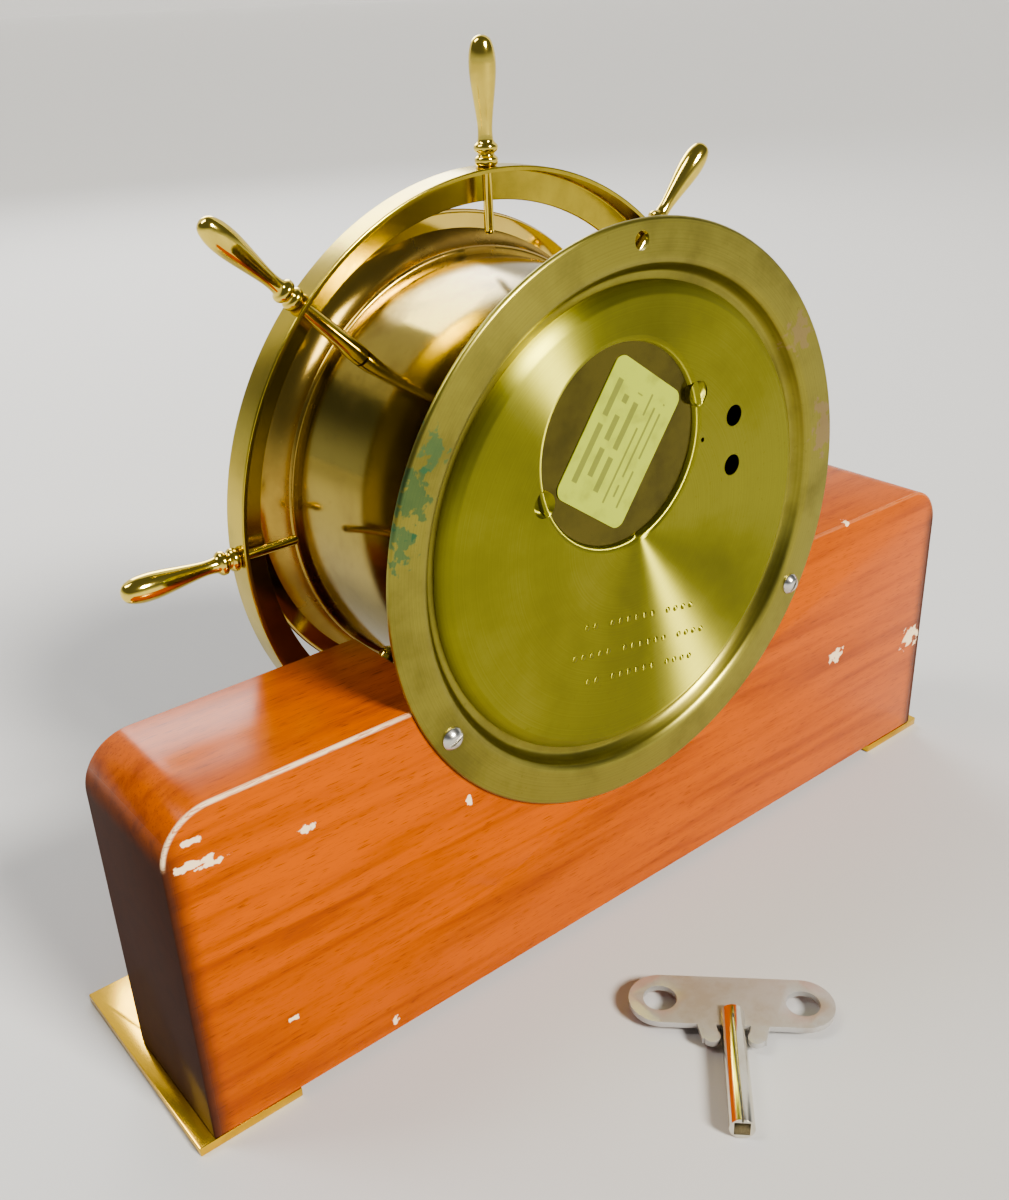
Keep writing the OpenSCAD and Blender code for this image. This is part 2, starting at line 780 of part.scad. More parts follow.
module escape_wheel() color("gold") {
    n = escape_teeth;
    slab(escape_level, escape_level + 0.9, escape_at) {
        difference() {
            polygon([for (i = [0:n - 1]) each
                [polar(escape_radius, 360 * i / n), polar(escape_radius, 360 * (i + 0.14) / n),
                    polar(escape_radius - 2.2, 360 * (i + 0.34) / n),
                    polar(escape_radius - 2, 360 * (i + 0.85) / n)]]);
            circle(r = escape_radius - 3.2, $fn = small_fn);
        }
        arms(4, escape_radius - 2.8, 1.1);
    }
    pinion(small_leaves, fine_module, high_level - pinion_reach,
        high_level + 1.2 + pinion_reach, escape_at,
        mesh_turn(escape_angle, fourth_teeth, small_leaves));
    arbor(escape_at);
}

// Forked lever whose two pallet pins straddle the escape wheel
module pallet_lever() color("silver") {
    to_wheel = atan2(escape_at[1] - lever_at[1], escape_at[0] - lever_at[0]);
    to_balance = atan2(balance_at[1] - lever_at[1], balance_at[0] - lever_at[0]);
    level = escape_level + 1.5;
    slab(level, level + 0.8, lever_at) difference() {
        union() {
            circle(r = 1.8, $fn = small_fn);
            for (s = [-1, 1]) flat_bar([0, 0], polar(5.6, to_wheel + s * 62), 1.3);
            flat_bar([0, 0], polar(7.6, to_balance), 1.3);
        }
        translate(polar(7.8, to_balance)) circle(r = 0.5, $fn = 24);
    }
    arbor(lever_at, r = 0.9);
}

// ---------- Balance, at the back of the movement ----------

cock_foot = balance_at + polar(13.6, 80);
balance_level = 24.2;

module balance_wheel() color("gold") {
    slab(balance_level, balance_level + 1.1, balance_at) {
        difference() {
            circle(r = 10, $fn = 96);
            circle(r = 8.6, $fn = 96);
        }
        square([18, 1.4], center = true);
        circle(r = 1.6, $fn = small_fn);
    }
    bar(0.9, 22.5, back_plate_at - 0.2, balance_at);
    bar(0.5, 20.8, 22.5, balance_at);
    bar(0.6, back_plate_at - 0.2, back_plate_at + 4.5, balance_at);
}

module hairspring() color("slategray") {
    slab(23, 23.6, balance_at) {
        spiral(1.8, 5.6, 4, 0.2);
        difference() {
            circle(r = 2.05, $fn = small_fn);
            circle(r = 0.9 + set_fit, $fn = small_fn);
        }
    }
}

module balance_cock() color("silver") {
    difference() {
        union() {
            slab(20.6, 22.1) {
                round_bar(balance_at, cock_foot, 5);
                translate(cock_foot) circle(r = 4, $fn = small_fn);
                translate(balance_at) circle(r = 3.6, $fn = small_fn);
            }
            bar(2.6, 22.1, back_plate_at, cock_foot);
            bar(1.2, back_plate_at, back_plate_at + plate_wall, cock_foot);
            bar(2.1, 19.4, 20.6, cock_foot);
        }
        bar(0.5 + run_fit, 20, 23, balance_at);
        slab(19, 19.9, cock_foot) square([8, 0.7], center = true);
    }
    difference() {
        bar(1.5, 19.5, 20.6, balance_at);
        bar(0.5 + run_fit, 19, 23, balance_at);
    }
}

// Slow and fast pointer that turns on the cock's boss
module regulator_index() color("silver") {
    slab(19.7, 20.4, balance_at) difference() {
        union() {
            circle(r = 2.7, $fn = small_fn);
            flat_bar([0, 0], polar(8.2, -20), 1.1);
            translate(polar(8.4, -20)) circle(r = 1.1, $fn = small_fn);
            flat_bar([0, 0], polar(5.2, 160), 1.3);
        }
        circle(r = 1.5 + run_fit, $fn = small_fn);
    }
}

// ---------- Striking train ----------

module strike_second_wheel() color("gold") {
    wheel(fourth_teeth, fine_module, low_level, second_at);
    pinion(big_leaves, great_module, barrel_to - pinion_reach, barrel_to + 1.9, second_at,
        mesh_turn(second_angle, great_teeth, big_leaves));
    arbor(second_at);
}

module strike_third_wheel() color("gold") {
    wheel(fourth_teeth, fine_module, mid_level, strike_third_at);
    pinion(small_leaves, fine_module, low_level - pinion_reach,
        low_level + 1.2 + pinion_reach, strike_third_at,
        mesh_turn(strike_third_angle, fourth_teeth, small_leaves));
    arbor(strike_third_at);
}

// Two-bladed air brake that sets the pace of the strike
module fly() color("silver") {
    pinion(small_leaves, fine_module, mid_level - pinion_reach,
        mid_level + 1.2 + pinion_reach, fly_at,
        mesh_turn(fly_angle, fourth_teeth, small_leaves));
    arbor(fly_at, r = 0.9);
    slab(40, 51, fly_at) rotate(30) square([16, 0.5], center = true);
    bar(1.6, 40, 51, fly_at);
}

hammer_level = 12;
hammer_head_at = polar(bell_radius + 3.4, 62) + bell_at;

module hammer() color("silver") {
    slab(hammer_level, hammer_level + 1.4, hammer_at)
        flat_bar([0, 0], hammer_head_at - hammer_at, 1.8);
    bar(2.6, hammer_level - 0.6, hammer_level + 2, hammer_at);
    bar(2.6, hammer_level - 2, hammer_level + 3.4, hammer_head_at);
    bar(1.4, hammer_level + 2, front_plate_at - 0.2, hammer_at);
    bar(0.6, front_plate_at - 0.2, ring_at, hammer_at);
}

module bell() color("gainsboro") {
    r = bell_radius;
    difference() {
        lathe([[0, 6.2], [r * 0.5, 6.4], [r * 0.78, 7.4], [r * 0.93, 9.6], [r, 13],
            [r, 18.4], [r - 1.3, 18.4], [r - 1.4, 13.4], [r * 0.93 - 1.2, 10.4],
            [r * 0.78 - 0.8, 8.6], [r * 0.5, 7.5], [0, 7.3]], bell_at);
        bar(1.5 + set_fit, 0, 12, bell_at);
    }
}

module bell_stud() color("gold") {
    bar(1.5, 4.6, back_plate_at + plate_wall, bell_at);
    bar(3, 7.5, back_plate_at, bell_at);
    bar(2.6, 4.6, 6.2, bell_at);
}

// ---------- Winding key, lying on the table behind the base ----------

key_turn = 45.4;         // direction of the key's tube, from +X towards +Y
wing_thick = 1.6;
tube_end = door_front;   // the tube ends as far behind the base as the door is in front
tube_tip = [40.8, tube_end - shaft_radius * cos(key_turn)];
tube_start = 3.4 - shaft_length;
wing_hole = 4.3;

module on_key() {
    translate([tube_tip[0], tube_tip[1], shaft_radius]) rotate(key_turn) children();
}

// Flat wing with round ends, two finger holes and two ears that grip the tube
module key_wing() color("silver") {
    end = wing_width / 2;
    reach = wing_length / 2 - end;
    ear = 2.1;
    ear_tip = -shaft_length + end + 5.8;
    on_key() translate([0, 0, -wing_thick / 2]) difference() {
        linear_extrude(wing_thick) difference() {
            union() {
                translate([-shaft_length - end, -reach]) square([wing_width, 2 * reach]);
                for (s = [-1, 1]) {
                    translate([-shaft_length, s * reach]) circle(r = end, $fn = 64);
                    translate([ear_tip - ear, s * 5.4]) circle(r = ear, $fn = small_fn);
                    scale([1, s]) polygon([[-shaft_length + end - 1.3, 2.3],
                        [-shaft_length + end - 1.3, 10.4], [-shaft_length + end + 0.1, 10.2],
                        [ear_tip - ear, 7.3], [ear_tip - ear, 3.6]]);
                }
            }
            for (s = [-1, 1])
                translate([-shaft_length, s * (reach + 0.3)]) circle(r = wing_hole, $fn = 48);
        }
        translate([tube_start, 0, wing_thick / 2]) rotate([0, 90, 0])
            cylinder(r = shaft_radius + set_fit, h = 30, $fn = small_fn);
    }
}

// Rolled tube with a seam on top and a square socket in its tip
module key_shaft() color("silver") {
    socket = 3.7;
    on_key() difference() {
        translate([tube_start, 0, 0]) rotate([0, 90, 0])
            cylinder(r = shaft_radius, h = -tube_start, $fn = small_fn);
        translate([-9, -socket / 2, -socket / 2]) cube([10, socket, socket]);
        translate([tube_start + 3, -0.25, 1.9]) cube([-tube_start, 0.5, 3]);
    }
}

// ---------- Assembly ----------

wood_base();
foot_plate_left();
foot_plate_right();
foot_screws();
case_drum();
flange_screws();
back_cover();
cover_disc();
rear_label();
front_skirt();
wheel_rim();
spoke_right();
post_upper_right();
spoke_top();
post_upper_left();
spoke_left();
post_lower_left();
spoke_bottom();
post_lower_right();
door_ring();
door_glass();
door_knob();
hinge_pin();
dial();
hour_hand();
minute_hand();
hand_nut();
cannon_pinion();
minute_wheel();
hour_wheel();
front_plate();
back_plate();
plate_pillars();
movement_ring();
movement_screws();
time_arbor();
time_barrel();
time_mainspring();
time_click();
center_wheel();
third_wheel();
fourth_wheel();
escape_wheel();
pallet_lever();
balance_wheel();
hairspring();
balance_cock();
regulator_index();
strike_arbor();
strike_barrel();
strike_mainspring();
strike_click();
strike_second_wheel();
strike_third_wheel();
fly();
hammer();
bell();
bell_stud();
key_wing();
key_shaft();
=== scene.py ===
import bpy
import math
from mathutils import Matrix, Vector


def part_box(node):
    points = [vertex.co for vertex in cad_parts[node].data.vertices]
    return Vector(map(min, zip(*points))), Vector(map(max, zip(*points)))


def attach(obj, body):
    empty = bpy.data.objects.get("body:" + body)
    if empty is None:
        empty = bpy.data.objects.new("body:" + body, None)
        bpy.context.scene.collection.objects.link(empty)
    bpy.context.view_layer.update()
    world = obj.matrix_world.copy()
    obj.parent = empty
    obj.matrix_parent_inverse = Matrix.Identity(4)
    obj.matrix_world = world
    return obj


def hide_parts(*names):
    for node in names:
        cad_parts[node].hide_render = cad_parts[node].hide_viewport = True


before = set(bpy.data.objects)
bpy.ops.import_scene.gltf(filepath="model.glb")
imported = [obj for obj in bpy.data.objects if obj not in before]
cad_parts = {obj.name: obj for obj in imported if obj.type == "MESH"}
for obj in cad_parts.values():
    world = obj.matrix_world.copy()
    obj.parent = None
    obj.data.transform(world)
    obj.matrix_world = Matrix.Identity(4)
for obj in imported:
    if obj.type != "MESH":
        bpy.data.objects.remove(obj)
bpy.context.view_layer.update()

mm = 0.001


def middleOf(node):
    low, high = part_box(node)
    return (low + high) / 2


dialMiddle = middleOf("dial")
clockAxis = Vector((dialMiddle.x, 0, dialMiddle.z))
faceOut = (math.radians(90), 0, 0)  # turns a piece's +Z to face the dial side


def dropSelection():
    if bpy.context.object and bpy.context.object.mode != "OBJECT":
        bpy.ops.object.mode_set(mode="OBJECT")
    bpy.ops.object.select_all(action="DESELECT")


def makeOnly(piece):
    dropSelection()
    piece.select_set(True)
    bpy.context.view_layer.objects.active = piece


def settle(piece, place=(0, 0, 0), turn=(0, 0, 0)):
    makeOnly(piece)
    piece.location = place
    piece.rotation_euler = turn
    bpy.ops.object.transform_apply(location=True, rotation=True, scale=True)
    return piece


def useModifier(piece, kind, **values):
    makeOnly(piece)
    modifier = piece.modifiers.new(kind.title(), kind)
    for key, value in values.items():
        setattr(modifier, key, value)
    bpy.ops.object.modifier_apply(modifier=modifier.name)


def smoothByAngle(piece, degrees=35):
    makeOnly(piece)
    bpy.ops.object.shade_smooth_by_angle(angle=math.radians(degrees))


def softEdges(piece, width, segments=2, degrees=35):
    useModifier(piece, "BEVEL", width=width * mm, segments=segments, limit_method="ANGLE",
                angle_limit=math.radians(degrees), harden_normals=False)


def bevelEdges(piece, width, segments, chosen):
    # chosen says, from an edge's two ends in millimetres, whether it is rounded
    makeOnly(piece)
    bpy.ops.object.mode_set(mode="EDIT")
    bpy.ops.mesh.select_mode(type="EDGE")
    bpy.ops.mesh.select_all(action="DESELECT")
    bpy.ops.object.mode_set(mode="OBJECT")
    for edge in piece.data.edges:
        ends = [piece.data.vertices[i].co / mm for i in edge.vertices]
        edge.select = chosen(*ends)
    bpy.ops.object.mode_set(mode="EDIT")
    bpy.ops.mesh.bevel(offset=width * mm, segments=segments, profile=0.5, affect="EDGES")
    bpy.ops.object.mode_set(mode="OBJECT")


def newBlock(name, size, middle):
    dropSelection()
    bpy.ops.mesh.primitive_cube_add(size=1, location=Vector(middle) * mm)
    block = bpy.context.object
    block.name = name
    block.scale = Vector(size) * mm
    bpy.ops.object.transform_apply(location=True, rotation=True, scale=True)
    return block


def newBar(name, radius, start, end, sides=64):
    dropSelection()
    line = (Vector(end) - Vector(start)) * mm
    bpy.ops.mesh.primitive_cylinder_add(vertices=sides, radius=radius * mm, depth=line.length,
                                        location=(Vector(start) + Vector(end)) * mm / 2,
                                        rotation=line.to_track_quat("Z", "Y").to_euler())
    bar = bpy.context.object
    bar.name = name
    bpy.ops.object.transform_apply(location=True, rotation=True, scale=True)
    return bar


def roundCorners(outline, steps=4):
    # each corner is (radius, height) or (radius, height, rounding)
    points = []
    for i, corner in enumerate(outline):
        here = Vector(corner[:2])
        if len(corner) < 3 or i in (0, len(outline) - 1):
            points.append(here)
            continue
        before = (Vector(outline[i - 1][:2]) - here).normalized() * corner[2]
        after = (Vector(outline[i + 1][:2]) - here).normalized() * corner[2]
        for k in range(steps + 1):
            t = k / steps
            points.append(here + before * (1 - t) ** 2 + after * t ** 2)
    return points


def turnedPiece(name, outline, place=(0, 0, 0), turn=(0, 0, 0), steps=144, corners=4):
    # an outline of (radius, height) is spun about its own Z, as on a lathe
    points = [Vector((p[0], 0, p[1])) * mm for p in roundCorners(outline, corners)]
    dropSelection()
    bpy.ops.mesh.primitive_plane_add(size=mm)
    piece = bpy.context.object
    piece.name = name
    bpy.ops.object.mode_set(mode="EDIT")
    bpy.ops.mesh.select_mode(type="VERT")
    bpy.ops.mesh.select_all(action="SELECT")
    bpy.ops.mesh.merge(type="CENTER")
    bpy.ops.transform.translate(value=points[0])
    for here, there in zip(points, points[1:]):
        bpy.ops.mesh.extrude_region_move(TRANSFORM_OT_translate={"value": there - here})
    bpy.ops.mesh.select_all(action="SELECT")
    bpy.ops.mesh.spin(steps=steps, angle=math.tau, center=(0, 0, 0), axis=(0, 0, 1))
    bpy.ops.mesh.select_all(action="SELECT")
    bpy.ops.mesh.remove_doubles(threshold=0.002 * mm)
    bpy.ops.mesh.normals_make_consistent(inside=False)
    bpy.ops.object.mode_set(mode="OBJECT")
    return settle(piece, place, turn)


def joined(pieces):
    makeOnly(pieces[0])
    for piece in pieces[1:]:
        piece.select_set(True)
    bpy.ops.object.join()
    return bpy.context.object


def cutAway(piece, cutters):
    cutter = joined(cutters)
    useModifier(piece, "BOOLEAN", operation="DIFFERENCE", object=cutter, solver="EXACT")
    bpy.data.objects.remove(cutter)
    return piece


def copied(piece, name):
    makeOnly(piece)
    bpy.ops.object.duplicate()
    twin = bpy.context.object
    twin.name = name
    return twin


def finished(piece, body, material, nodes=(), smooth=35):
    smoothByAngle(piece, smooth)
    piece.data.materials.clear()
    piece.data.materials.append(material)
    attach(piece, body)
    if nodes:
        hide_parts(*nodes)
    return piece


def newGroup(name, inputs, outputs):
    group = bpy.data.node_groups.new(name, "ShaderNodeTree")
    for label, kind, value in inputs:
        socket = group.interface.new_socket(label, in_out="INPUT", socket_type=kind)
        if value is not None:
            socket.default_value = value
    for label, kind in outputs:
        group.interface.new_socket(label, in_out="OUTPUT", socket_type=kind)
    start = group.nodes.new("NodeGroupInput")
    end = group.nodes.new("NodeGroupOutput")
    return group, start, end


def addNode(tree, kind, links=(), **values):
    # values set the node itself, links fill its sockets
    node = tree.nodes.new(kind)
    for key, value in values.items():
        setattr(node, key, value)
    for socket, source in links:
        target = node.inputs[socket]
        if isinstance(source, bpy.types.NodeSocket):
            tree.links.new(source, target)
        else:
            target.default_value = source
    return node


def mixColors(tree, amount, first, second, blend="MIX"):
    node = addNode(tree, "ShaderNodeMix", [(0, amount), (6, first), (7, second)],
                   data_type="RGBA", blend_type=blend)
    return node.outputs[2]


def doMath(tree, operation, first, second=0.0, clamp=False):
    return addNode(tree, "ShaderNodeMath", [(0, first), (1, second)], operation=operation,
                   use_clamp=clamp).outputs[0]


def mapRange(tree, value, low, high, toLow=0.0, toHigh=1.0):
    return addNode(tree, "ShaderNodeMapRange", [("Value", value), ("From Min", low),
                   ("From Max", high), ("To Min", toLow), ("To Max", toHigh)],
                   interpolation_type="SMOOTHSTEP").outputs[0]


def buildTarnish():
    # patchy darkening with fine speckle, for metal that was polished long ago
    group, start, end = newGroup("patchyTarnish", [
        ("Vector", "NodeSocketVector", None), ("Clean", "NodeSocketColor", (0.8, 0.6, 0.2, 1)),
        ("Aged", "NodeSocketColor", (0.3, 0.2, 0.06, 1)), ("Patch Size", "NodeSocketFloat", 40.0),
        ("Amount", "NodeSocketFloat", 0.5), ("Smooth", "NodeSocketFloat", 0.15),
        ("Rough", "NodeSocketFloat", 0.35)],
        [("Color", "NodeSocketColor"), ("Roughness", "NodeSocketFloat"),
         ("Mask", "NodeSocketFloat")])
    patches = addNode(group, "ShaderNodeTexNoise", [
        ("Vector", start.outputs["Vector"]), ("Scale", start.outputs["Patch Size"]),
        ("Detail", 6.0), ("Roughness", 0.62)])
    specks = addNode(group, "ShaderNodeTexNoise", [
        ("Vector", start.outputs["Vector"]), ("Scale", 900.0), ("Detail", 3.0)])
    patchMask = mapRange(group, patches.outputs[0], 0.42, 0.68)
    speckMask = mapRange(group, specks.outputs[0], 0.62, 0.75, 0.0, 0.5)
    both = doMath(group, "MAXIMUM", patchMask, speckMask)
    mask = doMath(group, "MULTIPLY", both, start.outputs["Amount"], clamp=True)
    color = mixColors(group, mask, start.outputs["Clean"], start.outputs["Aged"])
    rough = addNode(group, "ShaderNodeMix", [(0, mask), (2, start.outputs["Smooth"]),
                    (3, start.outputs["Rough"])])
    group.links.new(color, end.inputs["Color"])
    group.links.new(rough.outputs[0], end.inputs["Roughness"])
    group.links.new(mask, end.inputs["Mask"])
    return group


def buildScratches():
    # hairline marks that run mostly one way
    group, start, end = newGroup("hairlineScratches", [
        ("Vector", "NodeSocketVector", None), ("Along", "NodeSocketVector", (1.0, 30.0, 30.0)),
        ("Scale", "NodeSocketFloat", 60.0), ("Depth", "NodeSocketFloat", 0.1)],
        [("Normal", "NodeSocketVector"), ("Mask", "NodeSocketFloat")])
    stretched = addNode(group, "ShaderNodeVectorMath", [(0, start.outputs["Vector"]),
                        (1, start.outputs["Along"])], operation="MULTIPLY")
    lines = addNode(group, "ShaderNodeTexNoise", [("Vector", stretched.outputs[0]),
                    ("Scale", start.outputs["Scale"]), ("Detail", 4.0), ("Roughness", 0.7)])
    bump = addNode(group, "ShaderNodeBump", [("Strength", start.outputs["Depth"]),
                   ("Distance", 0.0001), ("Height", lines.outputs[0])])
    group.links.new(bump.outputs[0], end.inputs["Normal"])
    group.links.new(mapRange(group, lines.outputs[0], 0.55, 0.7), end.inputs["Mask"])
    return group


def buildSpot():
    # one ragged mark of a given size at a given place
    group, start, end = newGroup("raggedSpot", [
        ("Vector", "NodeSocketVector", None), ("Place", "NodeSocketVector", (0, 0, 0)),
        ("Size", "NodeSocketVector", (0.004, 0.004, 0.004)),
        ("Ragged", "NodeSocketFloat", 0.8)], [("Mask", "NodeSocketFloat")])
    offset = addNode(group, "ShaderNodeVectorMath", [(0, start.outputs["Vector"]),
                     (1, start.outputs["Place"])], operation="SUBTRACT")
    scaled = addNode(group, "ShaderNodeVectorMath", [(0, offset.outputs[0]),
                     (1, start.outputs["Size"])], operation="DIVIDE")
    length = addNode(group, "ShaderNodeVectorMath", [(0, scaled.outputs[0])],
                     operation="LENGTH")
    noise = addNode(group, "ShaderNodeTexNoise", [("Vector", start.outputs["Vector"]),
                    ("Scale", 420.0), ("Detail", 4.0)])
    wobble = doMath(group, "SUBTRACT", noise.outputs[0], 0.5)
    pushed = doMath(group, "MULTIPLY", wobble, start.outputs["Ragged"])
    total = doMath(group, "ADD", length.outputs["Value"], doMath(group, "MULTIPLY", pushed, 4.0))
    group.links.new(mapRange(group, total, 1.1, 0.8), end.inputs["Mask"])
    return group


tarnishGroup = buildTarnish()
scratchGroup = buildScratches()
spotGroup = buildSpot()


def useGroup(tree, group, links):
    node = tree.nodes.new("ShaderNodeGroup")
    node.node_tree = group
    for socket, source in links:
        if isinstance(source, bpy.types.NodeSocket):
            tree.links.new(source, node.inputs[socket])
        else:
            node.inputs[socket].default_value = source
    return node


def newMaterial(name, **plain):
    # returns the material, its tree, its shader and the object coordinates
    material = bpy.data.materials.new(name)
    material.use_nodes = True
    tree = material.node_tree
    shader = tree.nodes["Principled BSDF"]
    for socket, value in plain.items():
        shader.inputs[socket.replace("_", " ")].default_value = value
    place = tree.nodes.new("ShaderNodeTexCoord").outputs["Object"]
    return material, tree, shader, place


def brassMaterial(name, look):
    material, tree, shader, place = newMaterial(name, Metallic=look["metal"])
    aged = useGroup(tree, tarnishGroup, [
        ("Vector", place), ("Clean", look["clean"]), ("Aged", look["aged"]),
        ("Patch Size", look["patch"]), ("Amount", look["amount"]),
        ("Smooth", look["smooth"]), ("Rough", look["rough"])])
    lines = useGroup(tree, scratchGroup, [("Vector", place), ("Along", look["along"]),
                     ("Scale", 70.0), ("Depth", look["scratch"])])
    tree.links.new(aged.outputs["Color"], shader.inputs["Base Color"])
    tree.links.new(aged.outputs["Roughness"], shader.inputs["Roughness"])
    tree.links.new(lines.outputs["Normal"], shader.inputs["Normal"])
    return material


def woodMaterial():
    look = {"light": (0.43, 0.088, 0.003, 1), "dark": (0.23, 0.040, 0.002, 1),
            "pores": (0.09, 0.016, 0.002, 1), "endGrainAndShade": (0.030, 0.009, 0.004, 1),
            "bareAndEdgeHighlight": (0.80, 0.62, 0.40, 1), "corner": 12.5}
    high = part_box("wood_base")[1]
    material, tree, shader, place = newMaterial("mahoganyVarnish", Coat_Weight=0.05,
                                                Coat_Roughness=0.14, Specular_IOR_Level=0.20)
    bands = addNode(tree, "ShaderNodeMapping", [("Vector", place), ("Scale", (1.0, 16.0, 16.0)),
                    ("Rotation", (0.0, math.radians(2.0), 0.0))])
    wave = addNode(tree, "ShaderNodeTexNoise", [("Vector", bands.outputs[0]), ("Scale", 12.0),
                   ("Detail", 6.0), ("Roughness", 0.6), ("Distortion", 0.4)])
    dashes = addNode(tree, "ShaderNodeMapping", [("Vector", place), ("Scale", (9.0, 130.0, 130.0)),
                     ("Rotation", (0.0, math.radians(3.0), 0.0))])
    pores = addNode(tree, "ShaderNodeTexNoise", [("Vector", dashes.outputs[0]), ("Scale", 22.0),
                    ("Detail", 3.0), ("Roughness", 0.6)])
    cloud = addNode(tree, "ShaderNodeTexNoise", [("Vector", place), ("Scale", 11.0),
                    ("Detail", 3.0)])
    tone = mixColors(tree, mapRange(tree, wave.outputs[0], 0.22, 0.62), look["dark"],
                     look["light"])
    tone = mixColors(tree, mapRange(tree, cloud.outputs[0], 0.45, 0.75, 0.0, 0.45), tone,
                     look["dark"])
    poreMask = mapRange(tree, pores.outputs[0], 0.54, 0.70, 0.0, 0.6)
    tone = mixColors(tree, poreMask, tone, look["pores"])
    parts = addNode(tree, "ShaderNodeSeparateXYZ", [(0, place)])
    along = doMath(tree, "ABSOLUTE", parts.outputs["X"])
    # both end faces turn near-black below the top: partly end grain that soaks up the stain, partly
    # painted shade of an end face turned from the light
    ending = mapRange(tree, along, high.x - 6.0 * mm, high.x - 0.2 * mm, 0.0, 0.93)
    belowTop = mapRange(tree, parts.outputs["Z"], high.z - 1.0 * mm, high.z - 14.0 * mm, 0.1, 1.0)
    tone = mixColors(tree, doMath(tree, "MULTIPLY", ending, belowTop), tone, look["endGrainAndShade"])
    # chips and knocks that show bare wood: (place, size) in millimetres
    knocks = [((127.5, 0, 78), (4.6, 2, 1.0)), ((123, 0, 76.2), (3.4, 2, 0.7)),
              ((126.5, 0, 83.5), (2.2, 2, 0.8)), ((-87.5, 0, 46.5), (3.0, 2, 2.2)),
              ((-128, 0, 38), (4.0, 2, 3.2)), ((100, 0, 74), (2.0, 2, 1.2)),
              ((56, 0, 60), (0.8, 2, 1.4)), ((110, 0, 24.5), (1.1, 2, 0.8)),
              ((83, 0, 6), (0.9, 2, 1.4)), ((-88, 0, 91), (1.2, 2, 1.0))]
    bareAndEdgeHighlight = 0.0
    for spotPlace, size in knocks:
        spot = useGroup(tree, spotGroup, [("Vector", place), ("Place", Vector(spotPlace) * mm),
                        ("Size", Vector(size) * mm), ("Ragged", 1.0)]).outputs[0]
        bareAndEdgeHighlight = doMath(tree, "MAXIMUM", bareAndEdgeHighlight, spot)
    # a pale line along the back's upper edge, which runs round the end's curve: partly rubbed wear,
    # partly a painted highlight of the rounded edge
    corner = look["corner"] * mm
    pastX = doMath(tree, "MAXIMUM", doMath(tree, "SUBTRACT", along, high.x - corner), 0.0)
    pastZ = doMath(tree, "MAXIMUM", doMath(tree, "SUBTRACT", parts.outputs["Z"],
                                           high.z - corner), 0.0)
    curve = addNode(tree, "ShaderNodeCombineXYZ", [(0, pastX), (1, pastZ)])
    reach = addNode(tree, "ShaderNodeVectorMath", [(0, curve.outputs[0])], operation="LENGTH")
    inside = doMath(tree, "SUBTRACT", corner, reach.outputs["Value"])
    fromBack = doMath(tree, "SUBTRACT", high.y, parts.outputs["Y"])
    edge = doMath(tree, "MAXIMUM", inside, fromBack)
    rubbedAndHighlight = doMath(tree, "MULTIPLY", mapRange(tree, edge, 1.1 * mm, 0.4 * mm),
                    mapRange(tree, pores.outputs[0], 0.36, 0.50, 0.3, 1.0))
    rubbedAndHighlight = doMath(tree, "MULTIPLY", rubbedAndHighlight,
                    mapRange(tree, parts.outputs["X"], 60.0 * mm, 84.0 * mm, 0.1, 0.85))
    rubbedAndHighlight = doMath(tree, "MULTIPLY", rubbedAndHighlight, mapRange(tree, pastZ, 0.0, 3.0 * mm))
    bareAndEdgeHighlight = doMath(tree, "MAXIMUM", bareAndEdgeHighlight, rubbedAndHighlight)
    # the knocks show bare wood; the pale edge line is partly worn wood and partly painted highlight
    color = mixColors(tree, bareAndEdgeHighlight, tone, look["bareAndEdgeHighlight"])
    dull = doMath(tree, "MAXIMUM", bareAndEdgeHighlight, mapRange(tree, along, high.x - 2.0 * mm,
                                                  high.x - 0.2 * mm))
    rough = addNode(tree, "ShaderNodeMix", [(0, dull), (2, 0.24), (3, 0.85)])
    bump = addNode(tree, "ShaderNodeBump", [("Strength", 0.25), ("Distance", 0.00008),
                   ("Height", pores.outputs[0])])
    tree.links.new(color, shader.inputs["Base Color"])
    tree.links.new(rough.outputs[0], shader.inputs["Roughness"])
    tree.links.new(bump.outputs[0], shader.inputs["Normal"])
    return material


def circularBrushMaterial(name, look, middle):
    # fine rings about a middle, and a sheen that spreads across them as two bright fans
    material, tree, shader, place = newMaterial(name, Metallic=1.0,
                                                Anisotropic=look["fan"])
    offset = addNode(tree, "ShaderNodeVectorMath", [(0, place), (1, middle)],
                     operation="SUBTRACT").outputs[0]
    outward = addNode(tree, "ShaderNodeVectorMath", [(0, offset)], operation="NORMALIZE")
    tree.links.new(outward.outputs[0], shader.inputs["Tangent"])
    reach = addNode(tree, "ShaderNodeVectorMath", [(0, offset)], operation="LENGTH")
    rings = addNode(tree, "ShaderNodeCombineXYZ", [(0, reach.outputs["Value"])])
    fine = addNode(tree, "ShaderNodeTexNoise", [("Vector", rings.outputs[0]),
                   ("Scale", 2600.0), ("Detail", 2.0)])
    aged = useGroup(tree, tarnishGroup, [
        ("Vector", place), ("Clean", look["clean"]), ("Aged", look["aged"]),
        ("Patch Size", look["patch"]), ("Amount", look["amount"]),
        ("Smooth", look["smooth"]), ("Rough", look["rough"])])
    shade = mixColors(tree, mapRange(tree, fine.outputs[0], 0.3, 0.7, 0.0, 0.25),
                      aged.outputs["Color"], look["aged"])
    bump = addNode(tree, "ShaderNodeBump", [("Strength", 0.08), ("Distance", 0.00005),
                   ("Height", fine.outputs[0])])
    tree.links.new(shade, shader.inputs["Base Color"])
    tree.links.new(aged.outputs["Roughness"], shader.inputs["Roughness"])
    tree.links.new(bump.outputs[0], shader.inputs["Normal"])
    return material, tree, shader, place, shade


